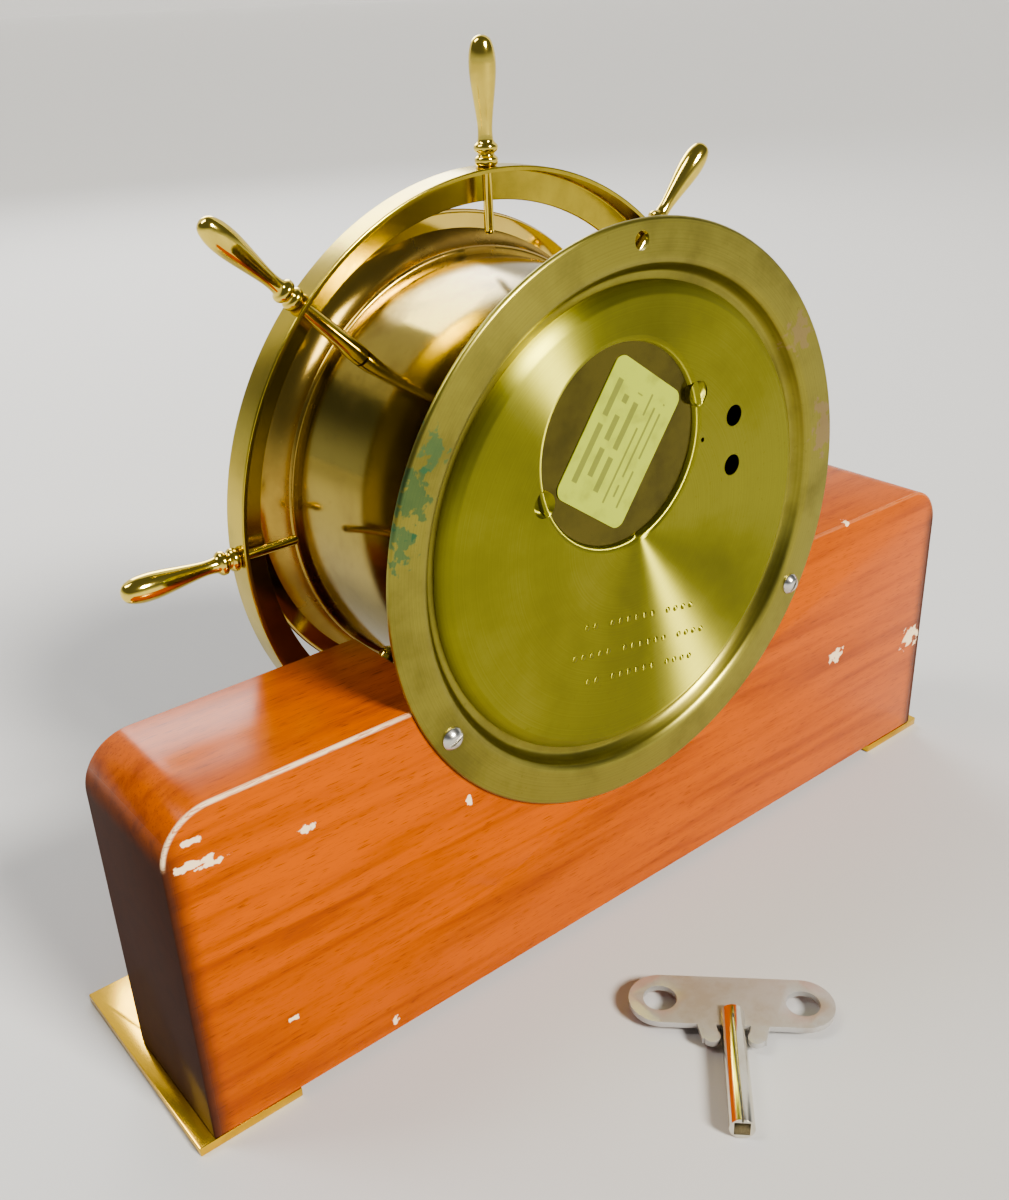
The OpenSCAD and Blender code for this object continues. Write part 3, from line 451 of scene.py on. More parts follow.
def flangeMaterial():
    look = {"clean": (0.36, 0.32, 0.075, 1), "aged": (0.15, 0.13, 0.035, 1), "patch": 35.0,
            "amount": 0.6, "smooth": 0.30, "rough": 0.42, "fan": 0.6}
    middle = clockAxis.copy()
    material, tree, shader, place, shade = circularBrushMaterial("flangeBrass", look, middle)
    color = shade
    # verdigris on one side and a warm stain on the other: (angle, radius, size, colour)
    stains = [(14, 72.5, (3.4, 4, 5), (0.02, 0.16, 0.09, 1)),
              (22, 72, (4.2, 4, 6.5), (0.02, 0.15, 0.08, 1)),
              (31, 71, (3.2, 4, 4.5), (0.06, 0.20, 0.10, 1)),
              (146, 70, (5, 4, 5), (0.40, 0.27, 0.15, 1)),
              (172, 71, (3.5, 4, 8), (0.40, 0.26, 0.16, 1))]
    for angle, radius, size, tint in stains:
        turn = math.radians(angle)
        spot = useGroup(tree, spotGroup, [
            ("Vector", place), ("Size", Vector(size) * mm), ("Ragged", 0.9),
            ("Place", clockAxis + Vector((math.cos(turn), 0, math.sin(turn))) * radius * mm)])
        color = mixColors(tree, doMath(tree, "MULTIPLY", spot.outputs[0], 0.6), color, tint)
    tree.links.new(color, shader.inputs["Base Color"])
    return material


def coverMaterial():
    look = {"clean": (0.38, 0.36, 0.060, 1), "aged": (0.22, 0.21, 0.036, 1), "patch": 22.0,
            "amount": 0.45, "smooth": 0.40, "rough": 0.46, "fan": 1.0}
    return circularBrushMaterial("coverBrass", look, clockAxis.copy())[0]


def labelMaterial(middle, tilt):
    # a blank printed label: heavy bars, then fine ones, split into word-long blocks
    look = {"paper": (0.35, 0.41, 0.035, 1), "ink": (0.12, 0.13, 0.02, 1)}
    material, tree, shader, place = newMaterial("labelPrint", Roughness=0.35)
    offset = addNode(tree, "ShaderNodeVectorMath", [(0, place), (1, middle)],
                     operation="SUBTRACT").outputs[0]
    turned = addNode(tree, "ShaderNodeVectorRotate", [("Vector", offset), ("Angle", tilt),
                     ("Axis", (0.0, 1.0, 0.0))]).outputs[0]
    parts = addNode(tree, "ShaderNodeSeparateXYZ", [(0, turned)])
    grime = addNode(tree, "ShaderNodeTexNoise", [("Vector", place), ("Scale", 220.0),
                    ("Detail", 4.0)])
    color = mixColors(tree, mapRange(tree, grime.outputs[0], 0.45, 0.75, 0.0, 0.35),
                      look["paper"], look["ink"])
    # rows across the label: (distance from the middle, half height, half length)
    rows = [(-8.8, 1.0, 13.5), (-4.8, 1.0, 11.0), (-0.8, 1.0, 13.0), (3.2, 0.4, 14.5),
            (5.8, 0.4, 12.0), (8.4, 0.4, 14.0)]
    for shift, half, length in rows:
        away = doMath(tree, "ABSOLUTE", doMath(tree, "SUBTRACT", parts.outputs["Z"], shift * mm))
        inRow = mapRange(tree, away, half * mm, (half - 0.12) * mm)
        inLength = mapRange(tree, doMath(tree, "ABSOLUTE", parts.outputs["X"]),
                            length * mm, (length - 0.3) * mm)
        line = addNode(tree, "ShaderNodeCombineXYZ", [(0, parts.outputs["X"]), (1, shift)])
        breaks = addNode(tree, "ShaderNodeTexNoise", [("Vector", line.outputs[0]),
                         ("Scale", 210.0), ("Detail", 0.0)])
        words = mapRange(tree, breaks.outputs[0], 0.40, 0.43)
        mark = doMath(tree, "MULTIPLY", doMath(tree, "MULTIPLY", inRow, inLength), words)
        color = mixColors(tree, doMath(tree, "MULTIPLY", mark, 0.8), color, look["ink"])
    tree.links.new(color, shader.inputs["Base Color"])
    return material


def metalMaterials():
    # each row: name, clean and aged colours, patch size and amount, smooth and rough,
    # the direction of the scratches and their depth, and how metallic it is
    rows = {
        "wheel": ("wheelBrass", (0.84, 0.66, 0.15, 1), (0.44, 0.33, 0.07, 1),
                  45.0, 0.35, 0.10, 0.28, (8.0, 8.0, 8.0), 0.05, 1.0),
        "rim": ("rimBrass", (0.58, 0.46, 0.08, 1), (0.26, 0.20, 0.04, 1),
                30.0, 0.5, 0.18, 0.34, (5.0, 40.0, 5.0), 0.08, 1.0),
        "drum": ("drumBrass", (0.34, 0.26, 0.055, 1), (0.15, 0.10, 0.025, 1),
                 28.0, 0.6, 0.10, 0.30, (30.0, 2.0, 30.0), 0.06, 1.0),
        "skirt": ("skirtBrass", (0.46, 0.32, 0.08, 1), (0.26, 0.16, 0.045, 1),
                  24.0, 0.7, 0.20, 0.42, (20.0, 4.0, 20.0), 0.06, 1.0),
        "plate": ("footPlateBrass", (0.78, 0.50, 0.07, 1), (0.36, 0.22, 0.04, 1),
                  38.0, 0.4, 0.16, 0.36, (2.0, 30.0, 30.0), 0.10, 1.0),
        "disc": ("discBrass", (0.16, 0.135, 0.035, 1), (0.07, 0.06, 0.02, 1),
                 40.0, 0.6, 0.16, 0.34, (1.0, 20.0, 20.0), 0.08, 1.0),
        "door": ("doorBrass", (0.88, 0.66, 0.18, 1), (0.50, 0.34, 0.09, 1),
                 36.0, 0.25, 0.09, 0.24, (6.0, 6.0, 6.0), 0.04, 1.0),
        "movement": ("movementBrass", (0.80, 0.62, 0.28, 1), (0.52, 0.38, 0.16, 1),
                     60.0, 0.3, 0.24, 0.38, (1.0, 10.0, 30.0), 0.15, 1.0),
        "nickel": ("screwNickel", (0.72, 0.70, 0.64, 1), (0.36, 0.32, 0.24, 1),
                   120.0, 0.5, 0.18, 0.38, (10.0, 10.0, 10.0), 0.10, 1.0),
        "steel": ("movementSteel", (0.60, 0.60, 0.60, 1), (0.38, 0.38, 0.38, 1),
                  80.0, 0.3, 0.22, 0.36, (2.0, 20.0, 20.0), 0.10, 1.0),
        "spring": ("blueSpring", (0.12, 0.16, 0.30, 1), (0.10, 0.10, 0.12, 1),
                   60.0, 0.4, 0.22, 0.34, (10.0, 2.0, 10.0), 0.05, 1.0),
        "bell": ("bellNickel", (0.78, 0.76, 0.72, 1), (0.55, 0.52, 0.46, 1),
                 40.0, 0.3, 0.12, 0.26, (8.0, 8.0, 8.0), 0.05, 1.0),
        "key": ("keyNickel", (0.52, 0.51, 0.50, 1), (0.36, 0.28, 0.19, 1),
                75.0, 0.5, 0.36, 0.50, (14.0, 14.0, 14.0), 0.12, 0.6),
        "tube": ("keyTubeNickel", (0.78, 0.75, 0.66, 1), (0.50, 0.42, 0.26, 1),
                 90.0, 0.35, 0.13, 0.32, (6.0, 6.0, 30.0), 0.08, 1.0),
    }
    keys = ("clean", "aged", "patch", "amount", "smooth", "rough", "along", "scratch", "metal")
    return {finish: brassMaterial(name, dict(zip(keys, values)))
            for finish, (name, *values) in rows.items()}


finishes = metalMaterials()
finishes["wood"] = woodMaterial()
finishes["flange"] = flangeMaterial()
finishes["cover"] = coverMaterial()
print("finishes made:", len(finishes))


def makeBase():
    look = {"edge": 0.55, "cradleRadius": 65.0, "endRound": 12.5}
    low, high = (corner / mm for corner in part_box("wood_base"))
    size = high - low
    base = newBlock("woodBase", size, (low + high) / 2)
    bevelEdges(base, look["endRound"], 16, lambda one, other: min(one.z, other.z) > high.z - 1
               and abs(one.x - other.x) < 1)
    center = clockAxis / mm
    cutter = newBar("cradleCutter", look["cradleRadius"], (center.x, 10, center.z),
                    (center.x, -60, center.z), sides=180)
    cutAway(base, [cutter])
    softEdges(base, look["edge"], segments=3, degrees=30)
    return finished(base, "case", finishes["wood"], ["wood_base"])


def makeFootPlate(side, node):
    low, high = (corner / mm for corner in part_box(node))
    plate = newBlock(node.replace("_", "") + "Sheet", high - low, (low + high) / 2)
    screwX = side * (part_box("wood_base")[1].x / mm - 9.5)
    cutters = []
    for y in (-10, -30):
        cutters.append(newBar("sinkCutter", 1.5, (screwX, y, -1), (screwX, y, 5), sides=48))
    cutAway(plate, cutters)
    softEdges(plate, 0.3, segments=2)
    return finished(plate, "case", finishes["plate"], [node])


def makeDrum():
    low, high = (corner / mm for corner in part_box("case_drum"))
    look = {"outer": 58.8, "inner": 57.8, "flange": (high.x - low.x) / 2, "joint": -low.y,
            "sheet": high.y, "holeCircle": 70.0, "holeRadius": 2.2}
    outline = [(look["inner"], 2.8), (62.2, 2.8, 0.6), (63.4, 1.6), (64.3, -0.5, 0.5),
               (65.6, -look["sheet"], 0.8), (look["flange"] - 0.5, -look["sheet"], 0.3),
               (look["flange"], -look["sheet"] + 0.5, 0.3), (look["flange"], 0, 0.2),
               (64.9, 0, 0.3), (64.2, 3.9, 0.5), (look["outer"], 3.9, 0.3),
               (look["outer"], look["joint"]), (look["inner"], look["joint"]),
               (look["inner"], 2.8)]
    drum = turnedPiece("caseDrum", outline, clockAxis, faceOut, steps=192)
    center = clockAxis / mm
    cutters = []
    for angle in (-30, 90, 210):
        turn = math.radians(angle)
        x = center.x + look["holeCircle"] * math.cos(turn)
        z = center.z + look["holeCircle"] * math.sin(turn)
        cutters.append(newBar("holeCutter", look["holeRadius"], (x, 5, z), (x, -5, z), 48))
    cutAway(drum, cutters)
    return drum


def makeFlangeScrews():
    look = {"head": 3.0, "rise": 1.85, "slot": 0.85, "circle": 70.0}
    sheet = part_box("case_drum")[1].y / mm
    pieces = []
    for angle, slotTurn in ((-30, 25), (210, 60)):
        turn = math.radians(angle)
        place = clockAxis + Vector((math.cos(turn), 0, math.sin(turn))) * look["circle"] * mm
        head = turnedPiece("screwHead", [
            (0, 12), (1.3, 12), (1.3, -sheet), (look["head"], -sheet),
            (look["head"], -sheet - 0.35, 0.2), (look["head"] - 0.9, -sheet - 1.35, 0.5),
            (1.2, -sheet - look["rise"], 0.4), (0, -sheet - look["rise"])],
            place, faceOut, steps=48)
        slot = newBlock("slotCutter", (9, 1.2, look["slot"]), (0, 0, 0))
        settle(slot, place + Vector((0, (sheet + look["rise"] - 0.1) * mm, 0)),
               (0, math.radians(slotTurn), 0))
        cutAway(head, [slot])
        pieces.append(head)
    screws = joined(pieces)
    screws.name = "flangeScrews"
    softEdges(screws, 0.08, segments=2, degrees=50)
    return finished(screws, "case", finishes["nickel"], ["flange_screws"])


recess = {"place": Vector((4.5, 22.3)), "radius": 25.3, "floor": 1.2, "ears": (163, -17),
          "earReach": 26.3, "earRadius": 3.3}


def onCover(x, z, depth=0.0):
    return clockAxis + Vector((x, -depth, z)) * mm


def pierced(name, loops, height, thick):
    # a flat sheet whose first loop is its outline and whose other loops are holes
    dropSelection()
    sheet = joined(loops)
    sheet.name = name
    bpy.ops.object.mode_set(mode="EDIT")
    bpy.ops.mesh.select_all(action="SELECT")
    bpy.ops.mesh.fill()
    bpy.ops.mesh.select_all(action="SELECT")
    bpy.ops.mesh.extrude_region_move(TRANSFORM_OT_translate={"value": (0, 0, thick * mm)})
    bpy.ops.mesh.select_all(action="SELECT")
    bpy.ops.mesh.normals_make_consistent(inside=False)
    bpy.ops.object.mode_set(mode="OBJECT")
    return settle(sheet, clockAxis + Vector((0, -height, 0)) * mm, faceOut)


def loop(x, z, radius, sides):
    dropSelection()
    bpy.ops.mesh.primitive_circle_add(vertices=sides, radius=radius * mm,
                                      location=(x * mm, z * mm, 0))
    bpy.ops.object.transform_apply(location=True, rotation=True, scale=True)
    return bpy.context.object


def recessLoop(lip):
    # the recess's round outline, bulging round its two ears
    x, z = recess["place"]
    ring = loop(x, z, recess["radius"] + lip, 240)
    for vertex in ring.data.vertices:
        offset = vertex.co.to_2d() / mm - recess["place"]
        reach = offset.length
        for angle in recess["ears"]:
            off = math.atan2(offset.y, offset.x) - math.radians(angle)
            side = recess["earReach"] * math.sin(off)
            if math.cos(off) > 0 and abs(side) < recess["earRadius"]:
                ear = recess["earReach"] * math.cos(off) + math.sqrt(
                    recess["earRadius"] ** 2 - side ** 2)
                reach = max(reach, ear)
        vertex.co = (recess["place"] + offset.normalized() * reach).to_3d() * mm
    return ring


def makeCover():
    outer = -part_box("back_cover")[1].y / mm
    edge = (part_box("back_cover")[1].x - clockAxis.x) / mm
    look = {"sheet": 0.8, "flat": edge - 3.4, "lip": 1.5, "peepHoles": ((-34.4, 21.2),
            (-34.4, 7.8)), "peepRadius": 2.8, "pinAngle": 190, "pinReach": 27.8,
            "pinRadius": 0.6}
    flat = look["flat"]
    rolledEdge = turnedPiece("backCover", [
        (flat, outer), (edge - 2.9, outer, 0.4), (edge - 0.7, outer + 1.2, 1.0),
        (edge, outer + 2.6), (edge, 2.79), (edge - 1, 2.79), (edge - 1.6, outer + 1.6, 0.8),
        (flat, outer + 0.8), (flat, outer)], clockAxis, faceOut, steps=192)
    x, z = recess["place"]
    turn = math.radians(look["pinAngle"])
    loops = [loop(0, 0, flat + 0.01, 192), recessLoop(look["lip"]),
             loop(x + look["pinReach"] * math.cos(turn), z + look["pinReach"] * math.sin(turn),
                  look["pinRadius"], 24)]
    for holeX, holeZ in look["peepHoles"]:
        loops.append(loop(holeX, holeZ, look["peepRadius"], 64))
    sheet = pierced("coverSheet", loops, outer, look["sheet"])
    radius, lip = recess["radius"], look["lip"]
    rolled = turnedPiece("coverLip", [
        (radius + lip + 0.3, outer + 0.02), (radius + lip - 0.1, outer, 0.1),
        (radius + 0.3, outer + 0.35, 0.7), (radius - 0.4, 1.3, 0.5), (radius - 0.4, 2.6),
        (radius + lip + 0.3, 2.6), (radius + lip + 0.3, outer + 0.02)],
        onCover(x, z), faceOut, steps=128)
    pieces = [rolledEdge, sheet, rolled]
    for angle in recess["ears"]:
        turn = math.radians(angle)
        reach = recess["earReach"] + 0.4
        pieces.append(turnedPiece("earDish", [
            (0, outer + 1.5), (1.8, outer + 1.4, 0.8), (recess["earRadius"] + 0.1, outer + 0.02),
            (recess["earRadius"] + 0.1, outer + 1.8), (0, outer + 1.8)],
            onCover(x + reach * math.cos(turn), z + reach * math.sin(turn)), faceOut, steps=48))
    whole = joined(pieces)
    whole.name = "backCover"
    return finished(whole, "case", finishes["cover"], ["back_cover"], smooth=40)


def makeStamping():
    # rows of small raised dots in place of stamped words
    outer = -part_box("back_cover")[1].y / mm
    look = {"slope": 9.5, "pitch": 2.9, "radius": 0.85, "rise": 0.3}
    rows = [(-29.0, 43.0), (-37.0, 50.0), (-44.5, 42.0)]
    dropSelection()
    bpy.ops.mesh.primitive_uv_sphere_add(segments=12, ring_count=6, radius=look["radius"] * mm)
    seed = bpy.context.object
    seed.scale = (1, look["rise"] / look["radius"], 1)
    bpy.ops.object.transform_apply(location=False, rotation=False, scale=True)
    dots = []
    slope = math.radians(look["slope"])
    for height, length in rows:
        count = int(length / look["pitch"])
        for i in range(count):
            step = (i - (count - 1) / 2) * look["pitch"]
            if i % 7 == 4:
                continue
            dot = copied(seed, "dot")
            x = step * math.cos(slope) - 1.5
            z = height + 4 + step * math.sin(slope)
            dots.append(settle(dot, onCover(x, z, outer)))
    bpy.data.objects.remove(seed)
    stamping = joined(dots)
    stamping.name = "coverStamping"
    return finished(stamping, "case", finishes["cover"], smooth=60)


def makeLabel():
    low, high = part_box("rear_label")
    middle = (low + high) / 2
    tilt = math.radians(125.5)
    size = (37.0, 25.5)
    label = newBlock("rearLabel", (size[0], (high.y - low.y) / mm, size[1]), (0, 0, 0))
    thick = (high.y - low.y) / mm
    bevelEdges(label, 2.8, 8, lambda one, other: abs(one.y - other.y) > 0.5 * thick)
    settle(label, middle, (0, -tilt, 0))
    finishes["label"] = labelMaterial(middle, tilt)
    return finished(label, "case", finishes["label"], ["rear_label"])


def flare(look, degrees):
    turn = math.radians(degrees)
    return (look["throat"] + (look["mouth"] - look["throat"]) * (1 - math.cos(turn)),
            look["start"] + (look["end"] - look["start"]) * math.sin(turn))


def hingeBars(spans, radius=1.9):
    pinMiddle = middleOf("hinge_pin") / mm
    bars = []
    for low, high in spans:
        bars.append(newBar("knuckle", radius, (pinMiddle.x, pinMiddle.y, pinMiddle.z + low),
                           (pinMiddle.x, pinMiddle.y, pinMiddle.z + high), 48))
    for bar in bars:
        softEdges(bar, 0.25, 2)
    return bars


def makeSkirt():
    look = {"throat": 60.0, "mouth": 69.0, "start": 66.4,
            "end": -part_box("front_skirt")[0].y / mm - 1.0}
    outer = [flare(look, angle) for angle in range(0, 91, 6)]
    inner = [(r - 0.8, d + 1.0) for r, d in reversed(outer)]
    bead = [(57.8, 64.02), (59.2, 64.02), (60.3, 64.1, 0.5), (60.95, 65.2, 0.6),
            (60.4, 66.1, 0.3)]
    outline = bead + outer + inner + [(57.8, 66.6), (57.8, 64.02)]
    skirt = turnedPiece("frontSkirt", outline, clockAxis, faceOut, steps=192)
    pinMiddle = middleOf("hinge_pin") / mm
    leaves = []
    for side in (-1, 1):
        z = pinMiddle.z + side * 9.15
        leaf = newBlock("hingeLeaf", (3.4, 2.2, 5.7), (pinMiddle.x + 1.7, -(look["end"] - 0.2), z))
        softEdges(leaf, 0.2, 2)
        leaves.append(leaf)
    bars = hingeBars([(-12, -6.3), (6.3, 12)])
    whole = joined([skirt] + leaves + bars)
    whole.name = "frontSkirt"
    return finished(whole, "case", finishes["skirt"], ["front_skirt"], smooth=40)


def makeDoor():
    front = -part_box("door_ring")[0].y / mm
    back = -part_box("door_glass")[1].y / mm - 0.2
    look = {"rim": 68.8, "glass": 61.0}
    ring = turnedPiece("doorRing", [
        (62.5, back), (look["rim"] - 0.5, back, 0.3), (look["rim"], back + 0.8, 0.4),
        (look["rim"] - 0.5, back + 2.4, 0.7), (look["rim"] - 2.4, front - 0.2, 1.0),
        (look["rim"] - 4.2, front, 0.8), (look["glass"] + 2.2, front - 0.4, 0.8),
        (look["glass"] + 0.6, front - 1.2, 0.5), (look["glass"], back + 2.05, 0.2),
        (62.5, back + 2.05), (62.5, back)], clockAxis, faceOut, steps=192)
    pinMiddle = middleOf("hinge_pin") / mm
    leaf = newBlock("doorLeaf", (4.5, 1.5, 12), (pinMiddle.x + 2.25, -(back + 1.65), pinMiddle.z))
    softEdges(leaf, 0.2, 2)
    whole = joined([ring, leaf] + hingeBars([(-6, 6)]))
    whole.name = "doorRing"
    finished(whole, "door", finishes["door"], ["door_ring"], smooth=40)
    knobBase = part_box("door_knob")[0].x
    knobMiddle = middleOf("door_knob")
    knob = turnedPiece("doorKnob", [(0, 0.02), (1.1, 0.02), (0.8, 0.9, 0.4), (1.7, 1.9, 0.4),
                       (1.9, 2.9, 0.5), (1.2, 3.8, 0.5), (0, 4)],
                       Vector((knobBase - 0.02 * mm, knobMiddle.y, knobMiddle.z)),
                       (0, math.radians(90), 0), steps=40)
    finished(knob, "door", finishes["door"], ["door_knob"])


def makeGlass():
    low, high = (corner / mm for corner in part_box("door_glass"))
    radius = (high.x - low.x) / 2
    domed = [(0, -low.y + 0.6), (radius * 0.5, -low.y + 0.45), (radius * 0.9, -low.y + 0.05),
             (radius, -low.y, 0.2), (radius, -high.y, 0.2), (radius * 0.9, -high.y + 0.3),
             (radius * 0.5, -high.y + 0.7), (0, -high.y + 0.85)]
    glass = turnedPiece("doorGlass", domed, clockAxis, faceOut, steps=128)
    material = newMaterial("clockGlass", Metallic=0.0, Roughness=0.02, Transmission_Weight=1.0,
                           IOR=1.45, Base_Color=(0.96, 0.98, 0.98, 1))[0]
    return finished(glass, "door", material, ["door_glass"], smooth=50)


def makeRim():
    low, high = (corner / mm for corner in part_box("wheel_rim"))
    look = {"outer": (high.x - low.x) / 2, "back": -high.y, "front": -low.y, "inner": 73.0,
            "wall": 1.2}
    outer, wall = look["outer"], look["wall"]
    return finished(turnedPiece("wheelRim", [
        (outer - wall, look["back"], 0.3), (outer - wall, look["back"] + 0.01),
        (outer - 0.1, look["back"], 0.3), (outer, look["back"] + 0.4, 0.2),
        (outer, look["front"] - 0.8), (outer - 0.8, look["front"], 0.5),
        (look["inner"] + 0.3, look["front"], 0.2), (look["inner"], look["front"] - 0.4, 0.2),
        (look["inner"] + 0.1, look["front"] - wall, 0.2),
        (outer - wall, look["front"] - wall, 0.6), (outer - wall, look["back"], 0.3)],
        clockAxis, faceOut, steps=192), "case", finishes["rim"], ["wheel_rim"],
        smooth=40)


def makeSpokes():
    rim = (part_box("wheel_rim")[1].x - clockAxis.x) / mm
    tip = (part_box("spoke_right")[1].x - clockAxis.x) / mm
    drum = 58.8
    plane = middleOf("spoke_right").y
    foot = rim + 0.05
    handle = [(2.3, foot, 0.2), (2.95, foot + 0.6, 0.5), (2.95, foot + 1.9, 0.5),
              (2.1, foot + 2.6, 0.3), (2.1, foot + 3.0, 0.2), (3.05, foot + 3.7, 0.5),
              (3.05, foot + 4.9, 0.5), (2.0, foot + 5.8, 0.5), (1.75, foot + 8.0, 1.5),
              (2.0, foot + 11, 1.5), (2.6, foot + 15.5, 2.0), (3.15, foot + 19.5, 2.0),
              (3.42, tip - 7.0, 1.8), (3.2, tip - 3.4, 1.6), (2.2, tip - 0.7, 1.0),
              (0.8, tip - 0.02, 0.4), (0, tip)]
    plain = turnedPiece("plainSpoke", [(0, 65.5), (0.95, 65.5, 0.2), (1.25, 66.2, 0.4),
                        (1.25, foot)] + handle, steps=48, corners=5)
    post = turnedPiece("postSpoke", [(0, drum - 1.8), (1.25, drum - 1.8), (1.25, drum + 0.15),
                       (2.5, drum + 0.15, 0.3), (2.5, drum + 3.0, 0.8), (1.75, rim - 3.2, 0.6),
                       (1.6, rim - 1.4, 0.2), (1.25, rim - 1.4), (1.25, foot)] + handle,
                       steps=48, corners=5)
    names = {0: "spoke_right", 45: "post_upper_right", 90: "spoke_top", 135: "post_upper_left",
             180: "spoke_left", 225: "post_lower_left", 270: "spoke_bottom",
             315: "post_lower_right"}
    for angle, node in names.items():
        source = post if angle % 90 else plain
        spoke = copied(source, node.replace("_", "") + "Turning")
        settle(spoke, (clockAxis.x, plane, clockAxis.z), (0, math.radians(90 - angle), 0))
        finished(spoke, "case", finishes["wheel"], [node], smooth=50)
    bpy.data.objects.remove(plain)
    bpy.data.objects.remove(post)


def fused(piece, others):
    for other in others:
        useModifier(piece, "BOOLEAN", operation="UNION", object=other, solver="EXACT")
        bpy.data.objects.remove(other)
    return piece


def makeKey():
    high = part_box("key_shaft")[1] / mm
    look = {"turn": math.radians(45.4), "radius": 3.0, "start": -35.6, "socket": 3.7,
            "wing": -39.0, "end": 8.3, "reach": 17.7, "thick": 1.6, "hole": 4.3,
            "ear": (-27.0, 5.4, 2.1)}
    turn, radius, half = look["turn"], look["radius"], look["thick"] / 2
    tip = Vector((high.x - radius * math.sin(turn), high.y - radius * math.cos(turn),
                  radius)) * mm
    tube = newBar("keyTube", radius, (look["start"], 0, 0), (0, 0, 0), 64)
    cutAway(tube, [newBlock("socketCutter", (18, look["socket"], look["socket"]), (0, 0, 0))])
    cutAway(tube, [newBlock("seamCutter", (40, 0.5, 2.2), (look["start"] + 23, 0, 3.2))])
    softEdges(tube, 0.22, 3)
    settle(tube, tip, (0, 0, turn))
    finished(tube, "key", finishes["tube"], ["key_shaft"])
    wing = newBlock("keyWing", (2 * look["end"], 2 * look["reach"], look["thick"]),
                    (look["wing"], 0, 0))
    others = []
    earX, earY, earRadius = look["ear"]
    edge = look["wing"] + look["end"]
    for side in (-1, 1):
        y = side * look["reach"]
        others.append(newBar("wingEnd", look["end"] + 0.001, (look["wing"], y, -half),
                             (look["wing"], y, half), 64))
        ear = newBlock("earBlock", (earX - edge + 1.4, 4.4, look["thick"]), (0, 0, 0))
        settle(ear, Vector(((edge + earX) / 2, side * 6.2, 0)) * mm, (0, 0, -side * 0.22))
        others.append(ear)
        others.append(newBar("earTip", earRadius, (earX, side * earY, -half),
                             (earX, side * earY, half), 40))
    fused(wing, others)
    for side in (-1, 1):
        y = side * (look["reach"] + 0.3)
        cutAway(wing, [newBar("holeCutter", look["hole"], (look["wing"], y, -3),
                              (look["wing"], y, 3), 56)])
    softEdges(wing, 0.3, 3)
    settle(wing, tip, (0, 0, turn))
    return finished(wing, "key", finishes["key"], ["key_wing"])


def makeDial():
    look = {"numeralReach": 44.0, "numeralSize": 11.0, "ringOuter": 52.5, "ringInner": 50.0}
    material, tree, shader, place = newMaterial("dialEnamel", Roughness=0.35)
    noise = addNode(tree, "ShaderNodeTexNoise", [("Vector", place), ("Scale", 25.0),
                    ("Detail", 4.0)])
    color = mixColors(tree, mapRange(tree, noise.outputs[0], 0.35, 0.7, 0.0, 0.5),
                      (0.84, 0.82, 0.76, 1), (0.74, 0.70, 0.60, 1))
    tree.links.new(color, shader.inputs["Base Color"])
    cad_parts["dial"].data.materials.clear()
    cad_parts["dial"].data.materials.append(material)
    ink, inkTree, inkShader, place = newMaterial("dialInk", Roughness=0.4)
    noise = addNode(inkTree, "ShaderNodeTexNoise", [("Vector", place), ("Scale", 300.0)])
    color = mixColors(inkTree, mapRange(inkTree, noise.outputs[0], 0.4, 0.8),
                      (0.012, 0.012, 0.014, 1), (0.03, 0.03, 0.03, 1))
    inkTree.links.new(color, inkShader.inputs["Base Color"])
    finishes["ink"] = ink
    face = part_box("dial")[0].y / mm - 0.04
    marks = []
    for hour in range(1, 13):
        turn = math.radians(90 - 30 * hour)
        dropSelection()
        bpy.ops.object.text_add()
        numeral = bpy.context.object
        numeral.data.body = str(hour)
        numeral.data.size = look["numeralSize"] * mm
        numeral.data.align_x = "CENTER"
        numeral.data.align_y = "CENTER"
        numeral.data.extrude = 0.03 * mm
        bpy.ops.object.convert(target="MESH")
        place = clockAxis + Vector((math.cos(turn), 0, math.sin(turn))) * look["numeralReach"] * mm
        marks.append(settle(numeral, (place.x, face * mm, place.z), faceOut))
    for minute in range(60):
        wide = 1.1 if minute % 5 == 0 else 0.4
        long = look["ringOuter"] - look["ringInner"]
        tick = newBlock("tick", (long, 0.06, wide), (0, 0, 0))
        turn = math.radians(6 * minute)
        reach = (look["ringOuter"] + look["ringInner"]) / 2 * mm
        place = clockAxis + Vector((math.cos(turn), 0, math.sin(turn))) * reach
        marks.append(settle(tick, (place.x, face * mm, place.z), (0, -turn, 0)))
    for radius in (look["ringInner"], look["ringOuter"]):
        marks.append(turnedPiece("minuteRing", [
            (radius - 0.15, -face - 0.03), (radius + 0.15, -face - 0.03),
            (radius + 0.15, -face + 0.03), (radius - 0.15, -face + 0.03),
            (radius - 0.15, -face - 0.03)], clockAxis, faceOut, steps=120))
    printed = joined(marks)
    printed.name = "dialPrint"
    finished(printed, "case", finishes["ink"], smooth=30)


def dressNodes():
    # CAD pieces that keep their shape get their finish here
    groups = {
        "movement": ["cannon_pinion", "minute_wheel", "hour_wheel", "front_plate", "back_plate",
                     "plate_pillars", "movement_ring", "time_barrel", "center_wheel",
                     "third_wheel", "fourth_wheel", "escape_wheel", "balance_wheel",
                     "strike_barrel", "strike_second_wheel", "strike_third_wheel", "bell_stud",
                     "hand_nut"],
        "steel": ["time_arbor", "time_click", "pallet_lever", "balance_cock",
                  "regulator_index", "strike_arbor", "strike_click", "fly", "hammer"],
        "spring": ["time_mainspring", "strike_mainspring", "hairspring"],
        "bell": ["bell"], "nickel": ["movement_screws"], "plate": ["foot_screws"],
        "door": ["hinge_pin"], "disc": ["cover_disc"], "ink": ["hour_hand", "minute_hand"]}
    for finish, nodes in groups.items():
        for node in nodes:
            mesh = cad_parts[node].data
            mesh.materials.clear()
            mesh.materials.append(finishes[finish])


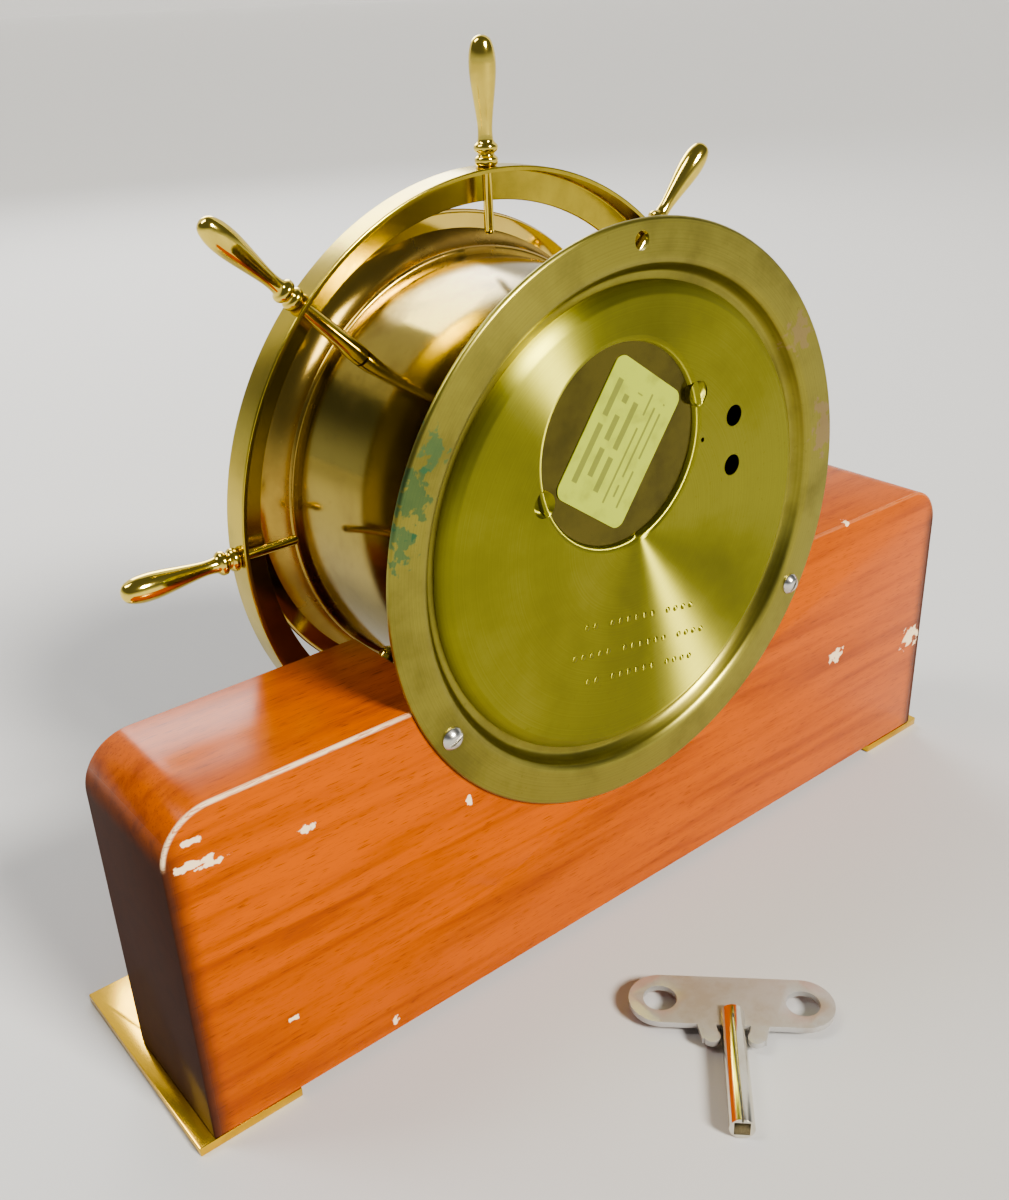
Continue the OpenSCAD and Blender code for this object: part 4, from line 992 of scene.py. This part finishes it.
makeBase()
makeFootPlate(-1, "foot_plate_left")
makeFootPlate(1, "foot_plate_right")
print("base made")
drum = makeDrum()
finished(drum, "case", finishes["drum"], ["case_drum"], smooth=40)
drum.data.materials.append(finishes["flange"])
for face in drum.data.polygons:  # the flange has its own, duller finish
    center = face.center - clockAxis
    if math.hypot(center.x, center.z) > 59.2 * mm:
        face.material_index = 1
makeFlangeScrews()
makeCover()
makeStamping()
makeLabel()
print("case made")
makeSkirt()
makeDoor()
makeGlass()
makeRim()
makeSpokes()
print("wheel and door made")
makeKey()
makeDial()
dressNodes()
print("dial made and movement dressed")


def makeStage():
    look = {"floor": (0.52, 0.52, 0.52, 1), "reach": 400.0, "sky": (0.90, 0.94, 1.0, 1),
            "horizon": 0.62, "overhead": 0.14, "wallAway": Vector((-33.0, -43.0, 0)), "wall": 200.0}
    dropSelection()
    bpy.ops.mesh.primitive_plane_add(size=look["reach"])
    floor = bpy.context.object
    floor.name = "floor"
    material = newMaterial("paleFloor", Roughness=0.8, Base_Color=look["floor"])[0]
    floor.data.materials.append(material)
    bpy.ops.mesh.primitive_plane_add(size=look["wall"], location=look["wallAway"],
                                     rotation=look["wallAway"].to_track_quat("Z", "Y").to_euler())
    wall = bpy.context.object
    wall.name = "farWall"
    wall.data.materials.append(material)
    world = bpy.data.worlds.new("studio")
    bpy.context.scene.world = world
    bpy.context.scene.view_settings.look = "AgX - Medium High Contrast"
    world.use_nodes = True
    sky = world.node_tree
    background = sky.nodes["Background"]
    background.inputs["Color"].default_value = look["sky"]
    # pale at the horizon, where it meets the floor, and dimmer overhead
    height = addNode(sky, "ShaderNodeSeparateXYZ", [
        (0, sky.nodes.new("ShaderNodeTexCoord").outputs["Generated"])]).outputs["Z"]
    sky.links.new(mapRange(sky, height, 0.02, 0.30, look["horizon"], look["overhead"]),
                  background.inputs["Strength"])


def addLight(name, direction, distance, size, power, color=(1, 1, 1)):
    dropSelection()
    middle = clockAxis
    place = middle + Vector(direction).normalized() * distance
    bpy.ops.object.light_add(type="AREA", location=place)
    light = bpy.context.object
    light.name = name
    light.rotation_euler = (place - middle).to_track_quat("Z", "Y").to_euler()
    light.data.shape = "RECTANGLE"
    light.data.size = size[0]
    light.data.size_y = size[1]
    light.data.energy = power
    light.data.color = color


def addSun(direction, strength, spread, color):
    # one wide, even source keeps the floor equally pale near and far
    dropSelection()
    bpy.ops.object.light_add(type="SUN", location=clockAxis + Vector(direction))
    sun = bpy.context.object
    sun.name = "keyLight"
    sun.rotation_euler = Vector(direction).to_track_quat("Z", "Y").to_euler()
    sun.data.energy = strength
    sun.data.angle = math.radians(spread)
    sun.data.color = color


def makeCamera():
    look = {"place": Vector((200.94, 203.56, 237.09)), "azimuth": 142.1, "elevation": 26.23,
            "roll": -2.54, "lens": 37.18}
    a, e, r = (math.radians(look[key]) for key in ("azimuth", "elevation", "roll"))
    back = Vector((math.sin(a) * math.cos(e), -math.cos(a) * math.cos(e), math.sin(e)))
    level = (-back).cross(Vector((0, 0, 1))).normalized()
    above = level.cross(-back)
    right = math.cos(r) * level + math.sin(r) * above
    up = -math.sin(r) * level + math.cos(r) * above
    data = bpy.data.cameras.new("camera")
    data.lens = look["lens"]
    data.sensor_width = 36
    data.clip_start = 0.01
    data.clip_end = 100
    camera = bpy.data.objects.new("camera", data)
    bpy.context.scene.collection.objects.link(camera)
    camera.matrix_world = Matrix.Translation(look["place"] * mm) @ Matrix(
        (right, up, back)).transposed().to_4x4()
    bpy.context.scene.camera = camera


makeStage()
addSun((-0.13, 0.80, 0.59), 6.0, 15, (1.0, 0.96, 0.88))
addLight("sideLight", (0.55, -0.45, 0.95), 1.4, (0.4, 0.7), 9, (1.0, 0.97, 0.92))
addLight("frontLight", (-0.3, -0.9, 0.5), 1.5, (0.8, 0.6), 10)
makeCamera()
print("stage ready")
